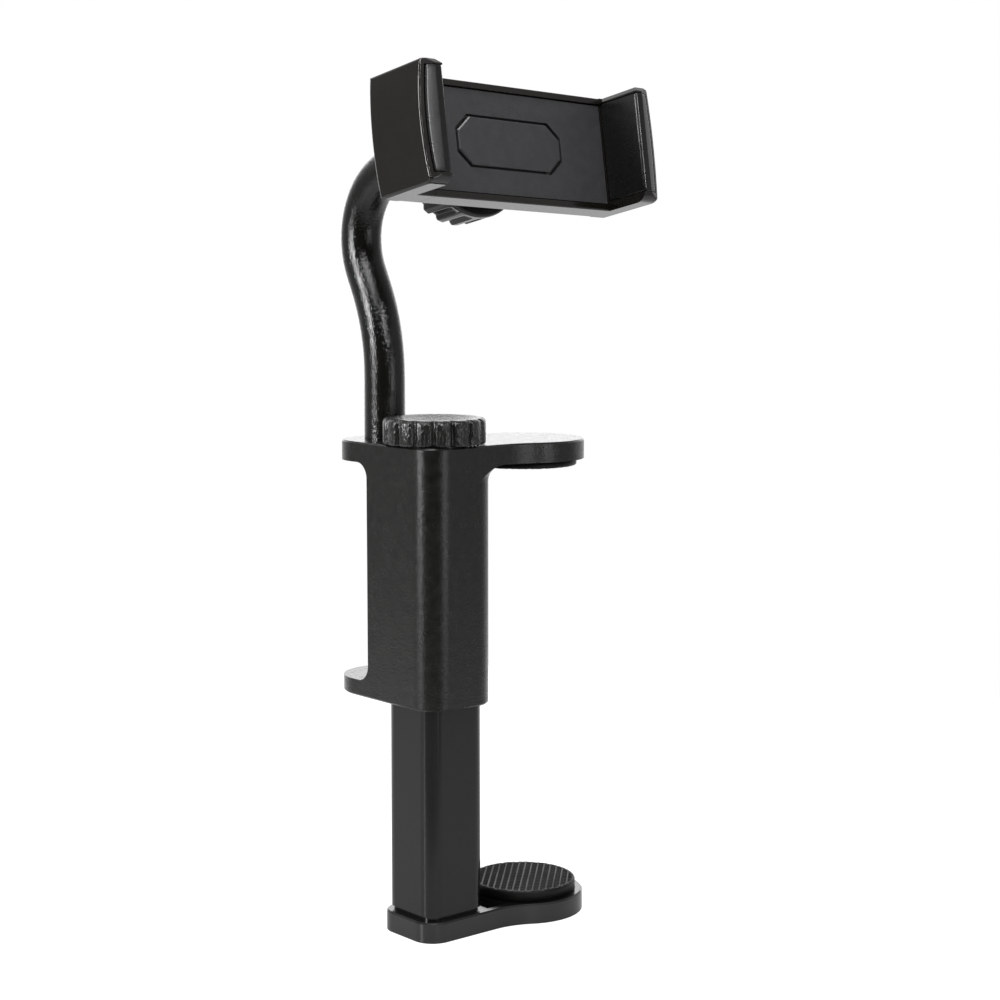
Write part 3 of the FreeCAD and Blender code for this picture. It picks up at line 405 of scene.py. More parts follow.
KNOB_COAT = Finish(
    "knob_hammered", (0.006, 0.006, 0.0053), roughness=0.26, grain=Grain.HAMMERED, grain_size=0.8 * MM,
    grain_depth=0.3 * MM, patch_size=2 * MM, mottling=0.4, gloss_spread=0.06, specular=0.55, stretch=(1.0, 1.0, 0.35))
PAD_RUBBER = Finish(
    "pad_black_rubber", (0.004, 0.004, 0.0036), roughness=0.45, grain=Grain.SAND, grain_size=0.3 * MM,
    grain_depth=0.02 * MM, patch_size=2 * MM, mottling=0.25, gloss_spread=0.08, specular=0.19)
JAW_RUBBER = Finish(
    "jaw_black_rubber", (0.0035, 0.0034, 0.0033), roughness=0.28, grain=Grain.PEEL, grain_size=0.3 * MM,
    grain_depth=0.004 * MM, mottling=0.15, specular=0.4)
HOLDER_SHELL = Finish(
    "holder_moulded", (0.0045, 0.0038, 0.0028), roughness=0.16, grain=Grain.PEEL, grain_size=0.3 * MM,
    grain_depth=0.003 * MM, patch_size=5 * MM, mottling=0.08, gloss_spread=0.04, specular=0.52)
HOLDER_PANEL = Finish(
    "panel_matt", (0.027, 0.027, 0.029), roughness=0.42, grain=Grain.SAND, grain_size=0.7 * MM,
    grain_depth=0.06 * MM, mottling=0.3)
NUT_PLASTIC = Finish(
    "nut_moulded", (0.006, 0.006, 0.0053), roughness=0.24, grain=Grain.PEEL, grain_depth=0.004 * MM)
PLAIN_STEEL = Finish(
    "bare_steel", (0.5, 0.5, 0.51), roughness=0.34, grain=Grain.SAND, grain_size=0.3 * MM, grain_depth=0.004 * MM,
    patch_size=2 * MM, mottling=0.08, gloss_spread=0.06, metallic=1.0)
BLACK_STEEL = Finish(
    "blackened_steel", (0.02, 0.02, 0.02), roughness=0.3, grain=Grain.SAND, grain_size=0.3 * MM,
    grain_depth=0.004 * MM, patch_size=2 * MM)
PLUG_NYLON = Finish("plug_grey_nylon", (0.05, 0.05, 0.05), roughness=0.5)


@dataclass
class Workshop:
    """Gives finishes to the solids' own meshes and adds made pieces to the object.

    Attributes:
        nodes: Node name to its object.
        made: Finish name to its material, made at its first use.
    """

    nodes: dict[str, bpy.types.Object]
    made: dict[str, bpy.types.Material] = field(default_factory=dict)

    def material(self, finish: Finish) -> bpy.types.Material:
        """Give a finish's material.

        Args:
            finish: The finish.

        Returns:
            The one material of that finish.
        """
        if finish.name not in self.made:
            self.made[finish.name] = finish.build()
        return self.made[finish.name]

    def dress(self, finish: Finish, *names: str) -> None:
        """Give one finish to several nodes.

        Args:
            finish: The finish.
            *names: Names of the nodes.
        """
        for name in names:
            mesh = self.nodes[name].data
            mesh.materials.clear()
            mesh.materials.append(self.material(finish))
            log.info("dressed %s in %s", name, finish.name)

    def add(self, mesh: bpy.types.Mesh, finish: Finish, body: str, node: str, slot: str) -> None:
        """Put a made piece on a body in place of a node.

        Args:
            mesh: The piece's mesh, whose name the piece takes.
            finish: Its finish.
            body: The body that it rides on.
            node: The node that it stands for.
            slot: Name of the record's material slot; not used.
        """
        piece = bpy.data.objects.new(mesh.name, mesh)
        bpy.context.scene.collection.objects.link(piece)
        mesh.materials.append(self.material(finish))
        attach(piece, body)
        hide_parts(node)
        log.info("made %s with %d faces for %s", mesh.name, len(mesh.polygons), node)


@dataclass(frozen=True)
class RibbedPad:
    """A round rubber pad with straight ribs and low cross ridges on its gripping face, in millimetres.

    Its place, its radius and its height are those of its node.

    Attributes:
        name: Name of the piece.
        node: The node that it stands for.
        upward: 1 where the gripping face looks up, -1 where it looks down.
        depth: Depth of the grooves between ribs.
        edge: Radius of the gripping face's edge.
        pitch: Distance from rib to rib.
        crest: Share of the pitch that a rib takes, half-way up its sides.
        flank: Share of the pitch that a rib's side takes.
        ridge_pitch: Distance between the cross ridges in the grooves.
        ridge_share: Height of the cross ridges as a share of the grooves' depth.
        rib_turn_deg: Angle from X to the direction across the ribs.
        calm_span: Distances inside the radius between which the relief gets shallower.
        calm_share: Share of the relief that is lost there.
        rows: Grid rows on the gripping face.
        edge_rows: Grid rows on its edge.
        columns: Grid columns round the pad.
    """

    name: str
    node: str
    upward: float
    depth: float = 0.75
    edge: float = 0.7
    pitch: float = 1.85
    crest: float = 0.24
    flank: float = 0.1
    ridge_pitch: float = 1.5
    ridge_share: float = 0.85
    rib_turn_deg: float = -45.0
    calm_span: Pair = (2.0, 0.6)
    calm_share: float = 0.75
    rows: int = 96
    edge_rows: int = 6
    columns: int = 480

    def mesh(self) -> bpy.types.Mesh:
        """Carry the pad's profile round its axis and press the ribs into the gripping face.

        With s the distance across the ribs and t along them, the groove is a smooth trapezoid wave of s, the cross
        ridges are a cosine of t on the grooves' floors, and both get shallower by the rim and fade over its edge.

        Returns:
            The new mesh.
        """
        low, high = box_mm(self.node)
        outer, centre_x = (high[0] - low[0]) / 2, (high[0] + low[0]) / 2
        base, grip = (low[2], high[2]) if self.upward > 0 else (high[2], low[2])
        face = np.column_stack([np.linspace(0, outer - self.edge, self.rows), np.full(self.rows, grip)])
        bend = np.linspace(0, math.pi / 2, self.edge_rows + 1)[1:]
        edge = np.column_stack([outer - self.edge * (1 - np.sin(bend)),
                                grip - self.upward * self.edge * (1 - np.cos(bend))])
        foot = np.array([[outer, base], [0, base]])
        radius, height, turn = revolve(np.vstack([face, edge, foot]), self.columns)
        x = radius * np.cos(turn)
        y = radius * np.sin(turn)
        slant = math.radians(self.rib_turn_deg)
        across = x * math.cos(slant) + y * math.sin(slant)
        along = y * math.cos(slant) - x * math.sin(slant)
        wave = 2 * np.abs(np.mod(across / self.pitch, 1.0) - 0.5)
        rib = smooth(1 - self.crest - self.flank, 1 - self.crest + self.flank, wave)
        ridge = 0.5 + 0.5 * np.cos(2 * math.pi * along / self.ridge_pitch)
        gripping = np.zeros((len(radius), 1))
        gripping[:self.rows] = 1
        gripping[self.rows:self.rows + self.edge_rows] = (np.cos(bend) ** 2)[:, None]
        calm = smooth(outer - self.calm_span[0], outer - self.calm_span[1], radius)
        relief = self.depth * (1 - rib) * (1 - self.ridge_share * ridge) * gripping * (1 - self.calm_share * calm)
        return grid_mesh(self.name, np.stack([centre_x + x, y, height - self.upward * relief], axis=-1))


@dataclass(frozen=True)
class LobedKnob:
    """The clamp's knob: round lobes, a rounded rim, a dished top and a recess underneath, in millimetres.

    Its height is that of its node, and its recess leaves room for the washer.

    Attributes:
        radius: Radius over the lobes.
        washer_gap: Room round and over the washer.
        rim: Width of the flat rim.
        dish: Depth of the dish.
        lobes: Number of lobes.
        groove_depth: Depth of the groove between two lobes.
        groove_reach: Distance from the groove's middle at which its depth has fallen to 1/e.
        crown: Fall of a lobe from its middle to its edges.
        edges: Radii of the recess's inner and outer edge and of the knob's lower and upper edge.
        wall_span: Distances inside the radius between which the grooves set in.
        phase_deg: Angle of the first groove.
        dish_rows: Grid rows on the dish.
        columns: Grid columns round the knob.
    """

    radius: float = 14.2
    washer_gap: float = 0.1
    rim: float = 2.2
    dish: float = 1.6
    lobes: int = 16
    groove_depth: float = 1.1
    groove_reach: float = 0.6
    crown: float = 0.45
    edges: tuple[float, ...] = (0.1, 0.15, 0.6, 1.3)
    wall_span: Pair = (1.6, 0.5)
    phase_deg: float = 5.6
    dish_rows: int = 13
    columns: int = 640

    def mesh(self) -> bpy.types.Mesh:
        """Carry the knob's profile round its axis and draw in the grooves.

        The groove's depth falls off as a bell curve of the distance from its middle, the lobes' crown is the square
        of the share of the way from a lobe's middle to the groove, and both act only on the outer wall.

        Returns:
            The new mesh.
        """
        bottom, top = (corner[2] for corner in box_mm("clamp_knob"))
        washer = box_mm("thrust_washer")[1] + self.washer_gap
        dish_edge = self.radius - self.rim
        wall = rounded_path([(0, washer[2]), (washer[0], washer[2]), (washer[0], bottom), (self.radius, bottom),
                             (self.radius, top), (dish_edge, top)], self.edges)
        share = np.linspace(1, 0, self.dish_rows + 1)[1:]
        dish = np.column_stack([dish_edge * share, top - self.dish * (1 - share ** 2)])
        radius, height, turn = revolve(np.vstack([wall, dish]), self.columns)
        pitch = 2 * math.pi / self.lobes
        offset = np.mod(turn - math.radians(self.phase_deg) + pitch / 2, pitch) - pitch / 2
        groove = np.exp(-(offset * self.radius / self.groove_reach) ** 2)
        fall = (1 - 2 * np.abs(offset) / pitch) ** 2
        outer = smooth(self.radius - self.wall_span[0], self.radius - self.wall_span[1], radius)
        radius = radius - outer * (self.groove_depth * groove + self.crown * fall * (1 - groove))
        points = np.stack([radius * np.cos(turn), radius * np.sin(turn), height], axis=-1)
        return grid_mesh("lobed_knob", points)


@dataclass(frozen=True)
class HolderPose:
    """How the holder's own frame stands on its ball: x along the plate, y into it, z up, in millimetres.

    Attributes:
        behind_face: Distance of the ball behind the plate's front face.
    """

    behind_face: float = 20.7

    def place(self, points: np.ndarray) -> np.ndarray:
        """Move points from the holder's frame into the shared one.

        The plate's y is the axis of its spin on the ball, and its x runs against the sliding jaw's way out.

        Args:
            points: Array whose last axis is x, y, z.

        Returns:
            The moved points.
        """
        spin = joint_row("holder_spin")
        along = -np.array(joint_row("jaw_slide")["axis"])
        into = np.array(spin["axis"])
        axes = np.stack([along, into, np.cross(along, into)])
        return (points - np.array([0, self.behind_face, 0])) @ axes + np.array(spin["pos_m"]) / MM


@dataclass(frozen=True)
class JawPad:
    """A moulded rubber pad in a jaw, in the holder's frame: flat towards the phone, bowed towards its shell.

    Attributes:
        name: Name of the piece.
        face_x: Place of the face that meets the phone.
        outward: 1 where the jaw's shell lies towards +x, -1 where it lies towards -x.
        width: Thickness at the ends, up to the groove along the shell.
        bow: Growth of the thickness half-way up.
        bow_half: Height above the middle where the bow ends.
        flat: Width of the front's level half.
        slope: Fall of the front's outer half for each millimetre outwards.
        front: Place of the level front along y.
        back: Place of the pad's back along y.
        low: Lower end.
        high: Upper end.
        edges: Radii along the section, from the back by the phone round the front to the back by the shell.
        end: Radius of the ends' edges.
        end_rows: Grid rows on each end's edge.
        rows: Grid rows between the ends.
    """

    name: str
    face_x: float
    outward: float
    width: float = 4.3
    bow: float = 1.1
    bow_half: float = 15.35
    flat: float = 2.2
    slope: float = 0.4
    front: float = -13.8
    back: float = -0.15
    low: float = -12.75
    high: float = 13.65
    edges: tuple[float, ...] = (0.4, 0.9, 1.2, 0.6, 0.4)
    end: float = 0.4
    end_rows: int = 6
    rows: int = 24

    def section(self) -> np.ndarray:
        """Draw the pad's outline across z as a closed path of x from the face and y.

        Returns:
            Array of shape (points, 2).
        """
        middle = (self.width / 2, self.back)
        outer_front = self.front + self.slope * (self.width - self.flat)
        corners = [middle, (0.0, self.back), (0.0, self.front), (self.flat, self.front), (self.width, outer_front),
                   (self.width, self.back), middle]
        return rounded_path(corners, self.edges)[:-1]

    def grid(self) -> np.ndarray:
        """Carry the section from end to end.

        Its outer half stretches with the bow, a parabola of z, and slides along the front's slope as it does. Near
        the ends the outline draws in along its normals as a quarter circle.

        Returns:
            Array of shape (rows, columns, 3).
        """
        outline = self.section()
        along = np.roll(outline, -1, axis=0) - np.roll(outline, 1, axis=0)
        normal = np.column_stack([along[:, 1], -along[:, 0]])
        normal /= np.linalg.norm(normal, axis=1, keepdims=True)
        inward = np.where(np.sum(normal * (outline.mean(axis=0) - outline)) > 0, 1.0, -1.0) * normal
        bend = np.linspace(0, math.pi / 2, self.end_rows)
        low_z = self.low + self.end * (1 - np.cos(bend))
        low_in = self.end * (1 - np.sin(bend))
        inner_z = np.linspace(self.low + self.end, self.high - self.end, self.rows)[1:-1]
        z = np.concatenate([low_z, inner_z, (self.low + self.high - low_z)[::-1]])[:, None]
        draw_in = np.concatenate([low_in, np.zeros_like(inner_z), low_in[::-1]])[:, None]
        grown = self.bow * (1 - (z / self.bow_half) ** 2)
        share = np.clip((outline[:, 0] - self.flat) / (self.width - self.flat), 0, 1)
        frontness = np.clip((self.back - outline[:, 1]) / (self.back - self.front), 0, 1)
        x = outline[:, 0] + draw_in * inward[:, 0] + grown * share
        y = outline[:, 1] + draw_in * inward[:, 1] + self.slope * grown * share * frontness
        rings = np.stack([self.face_x + self.outward * x, y, np.broadcast_to(z, x.shape)], axis=-1)
        caps = np.repeat(rings[[0, -1]].mean(axis=1, keepdims=True), len(outline), axis=1)
        return np.concatenate([caps[:1], rings, caps[1:]])


@dataclass(frozen=True)
class RibbedNut:
    """The ball joint's locking nut: a plain collar, then round-edged ribs, in the holder's frame.

    Attributes:
        front: Place of its front along y.
        back: Place of its back along y.
        radius: Radius over the ribs.
        bore: Radius of the bore over the socket.
        bore_end: Place where the bore ends.
        ball_centre: Place of the ball's centre along y.
        ball_radius: Radius of the spherical seat.
        collar: Length of the collar.
        front_edge: Radius of the front's outer edge.
        back_edge: Radius of the back's outer edge.
        ribs: Number of ribs.
        groove: Depth of the grooves.
        crest: Share of the pitch that a rib takes, half-way up its sides.
        flank: Share of the pitch that a rib's side takes.
        ramp: Length over which a groove sets in behind the collar.
        wall_span: Distances inside the radius between which the grooves set in.
        wall_rows: Grid rows on the outer wall.
        seat_rows: Grid rows on the spherical seat.
        columns: Grid columns round the nut.
    """

    front: float = 14.0
    back: float = 25.5
    radius: float = 16.1
    bore: float = 11.06
    bore_end: float = 22.6
    ball_centre: float = 20.7
    ball_radius: float = 8.56
    collar: float = 2.6
    front_edge: float = 0.8
    back_edge: float = 1.0
    ribs: int = 20
    groove: float = 1.1
    crest: float = 0.5
    flank: float = 0.2
    ramp: float = 0.5
    wall_span: Pair = (3.0, 1.4)
    wall_rows: int = 10
    seat_rows: int = 6
    columns: int = 480

    def grid(self) -> np.ndarray:
        """Carry the nut's closed section round its axis and draw in the grooves behind the collar.

        The groove is a smooth trapezoid wave of the angle, and it starts with a short ramp behind the collar.

        Returns:
            Array of shape (rows, columns, 3), whose rows close to a ring.
        """
        seat_y = np.linspace(self.back, self.bore_end, self.seat_rows)
        seat = np.column_stack([np.sqrt(self.ball_radius ** 2 - (seat_y - self.ball_centre) ** 2), seat_y])
        outer = rounded_path([(self.bore, self.front), (self.radius, self.front), (self.radius, self.back),
                              (seat[0, 0], self.back)], (self.front_edge, self.back_edge))
        wall_y = np.linspace(self.front + self.front_edge, self.back - self.back_edge, self.wall_rows)[1:-1]
        wall = np.column_stack([np.full_like(wall_y, self.radius), wall_y])
        front_end = 1 + ARC_STEPS
        profile = np.vstack([outer[:front_end], wall, outer[front_end:], seat[1:], [[self.bore, self.bore_end]]])
        radius, depth, turn = revolve(profile, self.columns)
        wave = 2 * np.abs(np.mod(turn * self.ribs / (2 * math.pi), 1.0) - 0.5)
        groove = 1 - smooth(1 - self.crest - self.flank, 1 - self.crest + self.flank, wave)
        collar_end = self.front + self.collar
        outside = smooth(self.radius - self.wall_span[0], self.radius - self.wall_span[1], radius)
        radius = radius - self.groove * groove * outside * smooth(collar_end, collar_end + self.ramp, depth)
        return np.stack([radius * np.cos(turn), depth, radius * np.sin(turn)], axis=-1)


@dataclass(frozen=True)
class ScrewHead:
    """A flush screw head with a cross recess, in millimetres, along its own axis.

    Attributes:
        radius: Radius of the head.
        height: Height of the head.
        slot_width: Width of one arm of the cross.
        slot_reach: Length of one arm from the middle.
        slot_depth: Depth of the cross.
        crown: Rise of the head towards its middle.
        edge: Width and height of the face's bevelled edge.
        side_blur: Half the width of an arm's sloping sides.
        end_blur: Half the length of an arm's sloping end.
        rows: Grid rows on the face.
        columns: Grid columns round the head.
    """

    radius: float
    height: float
    slot_width: float
    slot_reach: float
    slot_depth: float
    crown: float = 0.15
    edge: float = 0.15
    side_blur: float = 0.08
    end_blur: float = 0.1
    rows: int = 26
    columns: int = 96

    def grid(self, turn_deg: float) -> np.ndarray:
        """Carry the head's profile round its axis and press in the cross.

        The face falls as the square of the radius, and the cross is the larger of two smooth bars at right angles.

        Args:
            turn_deg: Angle of the cross.

        Returns:
            Array of shape (rows, columns, 3) with the face at z = 0, looking along +z.
        """
        face_radius = np.linspace(0, self.radius - self.edge, self.rows)
        face = np.column_stack([face_radius, -self.crown * (face_radius / self.radius) ** 2])
        wall = np.array([[self.radius, -self.crown - self.edge], [self.radius, -self.height], [0, -self.height]])
        radius, height, turn = revolve(np.vstack([face, wall]), self.columns)
        slant = turn - math.radians(turn_deg)
        x, y = np.abs(radius * np.cos(slant)), np.abs(radius * np.sin(slant))
        on_face = np.zeros((len(radius), 1))
        on_face[:self.rows] = 1
        sunk = height - self.slot_depth * np.maximum(self._bar(x, y), self._bar(y, x)) * on_face
        return np.stack([radius * np.cos(turn), radius * np.sin(turn), sunk], axis=-1)

    def _bar(self, across: np.ndarray, along: np.ndarray) -> np.ndarray:
        """Give one bar of the cross as a share of its depth.

        Args:
            across: Distance from the bar's middle line.
            along: Distance along that line from the head's middle.

        Returns:
            An array of the same shape, from 0 outside to 1 inside.
        """
        half = self.slot_width / 2
        side = smooth(half - self.side_blur, half + self.side_blur, across)
        end = smooth(self.slot_reach - self.end_blur, self.slot_reach + self.end_blur, along)
        return (1 - side) * (1 - end)


@dataclass
class ClampFrame:
    """The cast sleeve with its arm, ears and upper pad.

    Attributes:
        pad: The ribbed pad under the arm.
    """

    pad: RibbedPad = RibbedPad("upper_pad", "upper_jaw_pad", -1.0, depth=0.35, rows=72, columns=360)

    def build(self, shop: Workshop) -> None:
        """Dress the sleeve and make its pad.

        Args:
            shop: Where pieces are dressed and added.
        """
        shop.dress(SLEEVE_COAT, "clamp_sleeve")
        shop.dress(PLAIN_STEEL, "thrust_washer")
        shop.add(self.pad.mesh(), PAD_RUBBER, "clamp_frame", self.pad.node, "pad_rubber")


@dataclass
class ScrewDrive:
    """The knob and the screw that it turns.

    Attributes:
        knob: The lobed knob.
    """

    knob: LobedKnob = LobedKnob()

    def build(self, shop: Workshop) -> None:
        """Make the knob and dress the screw.

        Args:
            shop: Where pieces are dressed and added.
        """
        shop.add(self.knob.mesh(), KNOB_COAT, "screw", "clamp_knob", "knob_coat")
        shop.dress(PLAIN_STEEL, "lead_screw", "screw_collar")


@dataclass
class LowerJaw:
    """The square tube, the foot and its ribbed pad.

    Attributes:
        pad: The ribbed pad on the foot.
        screw_head: Shape of the two screws under the foot.
        screws: Place along X and angle of the cross of each of those screws, in millimetres and degrees.
        screw_face: Height of their faces.
    """

    pad: RibbedPad = RibbedPad("foot_pad_ribbed", "foot_pad", 1.0)
    screw_head: ScrewHead = ScrewHead(2.8, 1.6, slot_width=0.8, slot_reach=1.7, slot_depth=0.9)
    screws: tuple[Pair, ...] = ((-5.0, 15.0), (5.0, 25.0))
    screw_face: float = 0.1

    def build(self, shop: Workshop) -> None:
        """Dress the tube and the foot, and make the pad and the screws.

        Args:
            shop: Where pieces are dressed and added.
        """
        shop.dress(TUBE_COAT, "lower_tube")
        shop.dress(FOOT_COAT, "foot_plate")
        shop.dress(PLAIN_STEEL, "lead_nut")
        shop.dress(PLUG_NYLON, "tube_base_plug")
        shop.add(self.pad.mesh(), PAD_RUBBER, "lower_jaw", self.pad.node, "pad_rubber")
        face_down = np.array([1, 1, -1])
        heads = [self.screw_head.grid(turn_deg) * face_down + np.array([x, 0, self.screw_face])
                 for x, turn_deg in self.screws]
        shop.add(joined_mesh("foot_screw_heads", heads), PLAIN_STEEL, "lower_jaw", "foot_screws", "plain_steel")


@dataclass
class BentRod:
    """The rod, its washer and its clip."""

    def build(self, shop: Workshop) -> None:
        """Dress the rod and what keeps it in its ears.

        Args:
            shop: Where pieces are dressed and added.
        """
        shop.dress(ROD_COAT, "support_rod")
        shop.dress(PLAIN_STEEL, "spindle_washer", "spindle_clip")


@dataclass
class PhoneHolder:
    """The sprung holder with its jaws, pads and ball joint.

    Attributes:
        pose: How the holder stands on its ball.
        fixed_pad: Pad of the fixed jaw.
        sliding_pad: Pad of the sliding jaw.
        nut: The locking nut.
        screw_head: Shape of the rear cover's screws.
        screws: Place along the holder's x and z and angle of the cross of each of those screws, in millimetres and
            degrees.
        screw_face: Depth of their faces.
    """

    pose: HolderPose = HolderPose()
    fixed_pad: JawPad = JawPad("fixed_pad_moulded", 34.0, 1.0)
    sliding_pad: JawPad = JawPad("sliding_pad_moulded", -33.3, -1.0)
    nut: RibbedNut = RibbedNut()
    screw_head: ScrewHead = ScrewHead(2.0, 1.1, slot_width=0.6, slot_reach=1.25, slot_depth=0.6)
    screws: tuple[Triple, ...] = (
        (-22.1, -10.15, 45.5), (-22.1, 10.15, 36.7), (34.4, -10.15, 14.0), (34.4, 10.15, 5.2))
    screw_face: float = 7.6

    def build(self, shop: Workshop) -> None:
        """Dress the shells and make the pads, the nut and the screws.

        Args:
            shop: Where pieces are dressed and added.
        """
        shop.dress(HOLDER_SHELL, "holder_body", "sliding_jaw", "holder_rear_cover")
        shop.dress(HOLDER_PANEL, "back_panel", "octagon_pad")
        shop.dress(BLACK_STEEL, "ball_stud")
        shop.dress(PLAIN_STEEL, "jaw_springs")
        for pad, body, node in ((self.fixed_pad, "holder", "fixed_jaw_pad"),
                                (self.sliding_pad, "jaw", "sliding_jaw_pad")):
            shop.add(grid_mesh(pad.name, self.pose.place(pad.grid())), JAW_RUBBER, body, node, "jaw_rubber")
        nut = grid_mesh("ribbed_nut", self.pose.place(self.nut.grid()), ring=True)
        shop.add(nut, NUT_PLASTIC, "socket", "socket_nut", "nut_plastic")
        heads = []
        for x, z, turn_deg in self.screws:
            head = self.screw_head.grid(turn_deg)
            turned = np.stack([x - head[..., 0], self.screw_face + head[..., 2], z + head[..., 1]], axis=-1)
            heads.append(self.pose.place(turned))
        shop.add(joined_mesh("cover_screw_heads", heads), PLAIN_STEEL, "holder", "cover_screws", "plain_steel")


@dataclass
class PhotoCamera:
    """Camera at the photograph's viewpoint.

    Attributes:
        place: The camera's position.
        forward: The direction it looks in.
        lens_mm: Focal length on a sensor of sensor_mm.
        sensor_mm: Width of the sensor.
        clip_start: Distance from which it sees.
    """

    place: Triple = (-0.35895, -0.45127, 0.18854)
    forward: Triple = (0.64205, 0.75773, -0.11667)
    lens_mm: float = 76.32
    sensor_mm: float = 36.0
    clip_start: float = 0.01

    def build(self) -> None:
        """Make the camera and set it as the scene's own."""
        data = bpy.data.cameras.new("photo_camera")
        data.lens = self.lens_mm
        data.sensor_width = self.sensor_mm
        data.clip_start = self.clip_start
        camera = bpy.data.objects.new("photo_camera", data)
        camera.location = self.place
        camera.rotation_euler = Vector(self.forward).to_track_quat("-Z", "Y").to_euler()
        bpy.context.scene.collection.objects.link(camera)
        bpy.context.scene.camera = camera


@dataclass(frozen=True)
class Softbox:
    """A rectangular lamp that faces the object.

    Attributes:
        name: Name of the lamp.
        place: Position of its middle.
        width: Level size.
        height: Upright size.
        watts: Power.
    """

    name: str
    place: Triple
    width: float
    height: float
    watts: float

    def build(self, aim: Triple) -> None:
        """Make the lamp, turned to a point.

        Args:
            aim: The point that it faces.
        """
        data = bpy.data.lights.new(self.name, "AREA")
        data.shape = "RECTANGLE"
        data.size = self.width
        data.size_y = self.height
        data.energy = self.watts
        lamp = bpy.data.objects.new(self.name, data)
        lamp.location = self.place
        lamp.rotation_euler = (Vector(aim) - Vector(self.place)).to_track_quat("-Z", "Y").to_euler()
        lamp.visible_camera = False
        bpy.context.scene.collection.objects.link(lamp)


@dataclass
class Studio:
    """Pale floor, white surroundings and soft lamps.

    Attributes:
        aim: Point that the lamps face.
        backdrop: Level direction from the camera to the bright backdrop.
        front_level: Brightness of the surroundings on the camera's side.
        back_level: Brightness of the surroundings behind the object.
        level_span: Cosines of the angle from the backdrop between which the one becomes the other.
        gloss_levels: Share of the way round from the camera's own side to the backdrop, and the brightness there, for
            what gloss shows: dark beside the camera, pale at the sides and white behind the object.
        floor_radius: Radius of the round floor.
        floor_sides: Number of the floor's sides.
        floor_drop: Distance of the floor below the object.
        floor_grey: Grey of the floor for the light that it throws back.
        floor_shade: Grey of the floor's shading where it is seen.
        floor_glow: White that the camera sees in the floor besides its shading.
        floor_sheen: White that gloss shows of the floor's near half besides its shading. The far half is white.
        sheen_span: Distances towards the backdrop between which the near half becomes the far half.
        floor_dusk: Share of its brightness that the floor keeps on the camera's side, for gloss.
        dusk_span: Distances towards the backdrop between which it gets back its brightness.
        floor_shine: Share of the lamps that gloss shows mirrored in the floor.
        shine_roughness: Roughness of that mirroring.
        softboxes: The lamps.
    """

    aim: Triple = (0.0, 0.0, 0.12)
    backdrop: Triple = (0.647, 0.763, 0.0)
    front_level: float = 0.12
    back_level: float = 1.5
    level_span: Pair = (0.2, 0.9)
    gloss_levels: tuple[Pair, ...] = (
        (0.0, 0.04), (0.14, 0.06), (0.36, 0.43), (0.42, 0.5), (0.6, 0.28), (1.0, 1.0))
    floor_radius: float = 0.38
    floor_sides: int = 96
    floor_drop: float = 0.05 * MM
    floor_grey: float = 0.75
    floor_shade: float = 0.3
    floor_glow: float = 0.85
    floor_sheen: float = 0.25
    sheen_span: Pair = (0.06, 0.26)
    floor_dusk: float = 0.45
    dusk_span: Pair = (-0.14, -0.06)
    floor_shine: float = 0.08
    shine_roughness: float = 0.35
    softboxes: tuple[Softbox, ...] = (
        Softbox("left_softbox", (-0.86, 0.14, 0.375), 0.13, 0.45, 8.0),
        Softbox("left_low_fill", (-0.86, 0.14, 0.03), 0.16, 0.2, 0.2),
        Softbox("front_softbox", (-0.25, -0.94, 0.7), 0.12, 0.25, 5.0),
        Softbox("front_low_fill", (0.12, -0.95, 0.1), 0.2, 0.35, 0.9),
        Softbox("key_softbox", (-0.55, -0.45, 0.95), 0.5, 0.4, 6.0),
        Softbox("top_softbox", (0.0, -0.05, 1.05), 0.35, 0.35, 5.5),
        Softbox("back_softbox", (0.65, 0.76, 0.36), 1.2, 0.6, 3.0),
    )

    def build(self) -> None:
        """Make the surroundings, the floor and the lamps."""
        bpy.context.scene.view_settings.view_transform = "Standard"
        self._surroundings()
        self._floor()
        for softbox in self.softboxes:
            softbox.build(self.aim)

    def _surroundings(self) -> None:
        """Light the scene from all round: white to the camera, and darker on the camera's side for the object."""
        world = bpy.data.worlds.new("studio")
        world.use_nodes = True
        bpy.context.scene.world = world
        graph = NodeGraph(world.node_tree)
        rays = graph.add("ShaderNodeLightPath").outputs
        outward = graph.add("ShaderNodeTexCoord").outputs["Generated"]
        towards_back = graph.dot(outward, self.backdrop)
        level = graph.spread(towards_back, self.front_level, self.back_level, self.level_span, eased=True)
        ramp = graph.add("ShaderNodeValToRGB", {"Fac": graph.spread(towards_back, 0.0, 1.0, (-1.0, 1.0))})
        for position, _ in self.gloss_levels[1:-1]:
            ramp.color_ramp.elements.new(position)
        for element, (position, brightness) in zip(ramp.color_ramp.elements, self.gloss_levels):
            element.position = position
            element.color = (brightness, brightness, brightness, 1)
        seen = graph.largest(rays["Is Camera Ray"], rays["Is Transmission Ray"])
        gloss = graph.mix(rays["Is Glossy Ray"], level, ramp.outputs["Color"])
        light = graph.add("ShaderNodeBackground", {"Color": WHITE, "Strength": graph.mix(seen, gloss, 1.0)})
        graph.add("ShaderNodeOutputWorld", {"Surface": light.outputs["Background"]})

    def _floor(self) -> None:
        """Make a round pale floor: one face whose corners stand at equal angles round its middle."""
        turns = np.linspace(0, 2 * math.pi, self.floor_sides, endpoint=False)
        rim = np.column_stack([np.cos(turns), np.sin(turns), np.zeros_like(turns)]) * self.floor_radius
        mesh = bpy.data.meshes.new("floor")
        mesh.from_pydata(rim - np.array([0, 0, self.floor_drop]), [], [np.arange(self.floor_sides)])
        floor = bpy.data.objects.new("floor", mesh)
        bpy.context.scene.collection.objects.link(floor)
        mesh.materials.append(self._floor_material())

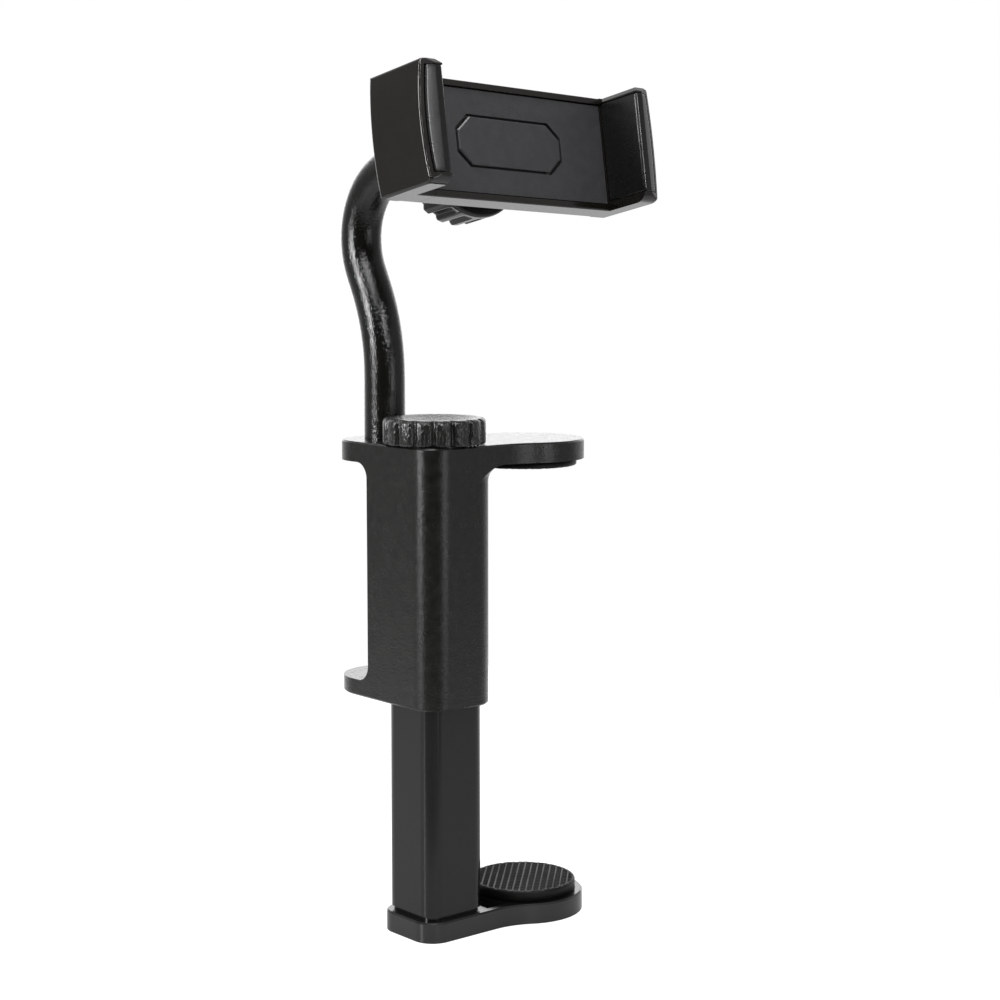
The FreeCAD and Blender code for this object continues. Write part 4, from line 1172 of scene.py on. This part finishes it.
    def _floor_material(self) -> bpy.types.Material:
        """Make the floor's material: pale for the light that it throws back, and white with a soft shadow when seen.

        Returns:
            The new material.
        """
        material = bpy.data.materials.new("pale_floor")
        material.use_nodes = True
        graph = NodeGraph(material.node_tree)
        rays = graph.add("ShaderNodeLightPath").outputs
        camera, gloss = rays["Is Camera Ray"], rays["Is Glossy Ray"]
        seen = graph.largest(camera, gloss, rays["Is Transmission Ray"])
        along = graph.dot(graph.add("ShaderNodeTexCoord").outputs["Object"], self.backdrop)
        sheen = graph.spread(along, self.floor_sheen, 1.0, self.sheen_span, eased=True)
        dusk = graph.spread(along, self.floor_dusk, 1.0, self.dusk_span, eased=True)
        level = graph.mix(camera, graph.math("MULTIPLY", sheen, dusk), self.floor_glow)
        shade = graph.mix(gloss, self.floor_shade, graph.math("MULTIPLY", dusk, self.floor_shade))
        shine = graph.mix(gloss, 0.0, self.floor_shine)
        glow = graph.add("ShaderNodeEmission", {"Color": WHITE, "Strength": level})
        shaded = graph.add("ShaderNodeBsdfDiffuse", {"Color": shade})
        white = graph.add("ShaderNodeAddShader", {0: glow.outputs[0], 1: shaded.outputs[0]})
        streaks = graph.add("ShaderNodeBsdfAnisotropic", {"Color": shine, "Roughness": self.shine_roughness})
        white = graph.add("ShaderNodeAddShader", {0: white.outputs[0], 1: streaks.outputs[0]})
        grey = (self.floor_grey, self.floor_grey, self.floor_grey, 1)
        plain = graph.add("ShaderNodeBsdfDiffuse", {"Color": grey})
        mix = graph.add("ShaderNodeMixShader", {0: seen, 1: plain.outputs[0], 2: white.outputs[0]})
        graph.add("ShaderNodeOutputMaterial", {"Surface": mix.outputs[0]})
        return material


def main() -> None:
    """Build the studio, then dress and make the pieces of each sub-assembly."""
    logging.basicConfig(level=logging.INFO, format="%(message)s")
    PhotoCamera().build()
    Studio().build()
    shop = Workshop(frame["nodes"])
    for assembly in (ClampFrame(), ScrewDrive(), LowerJaw(), BentRod(), PhoneHolder()):
        assembly.build(shop)


if __name__ == "__main__":
    main()
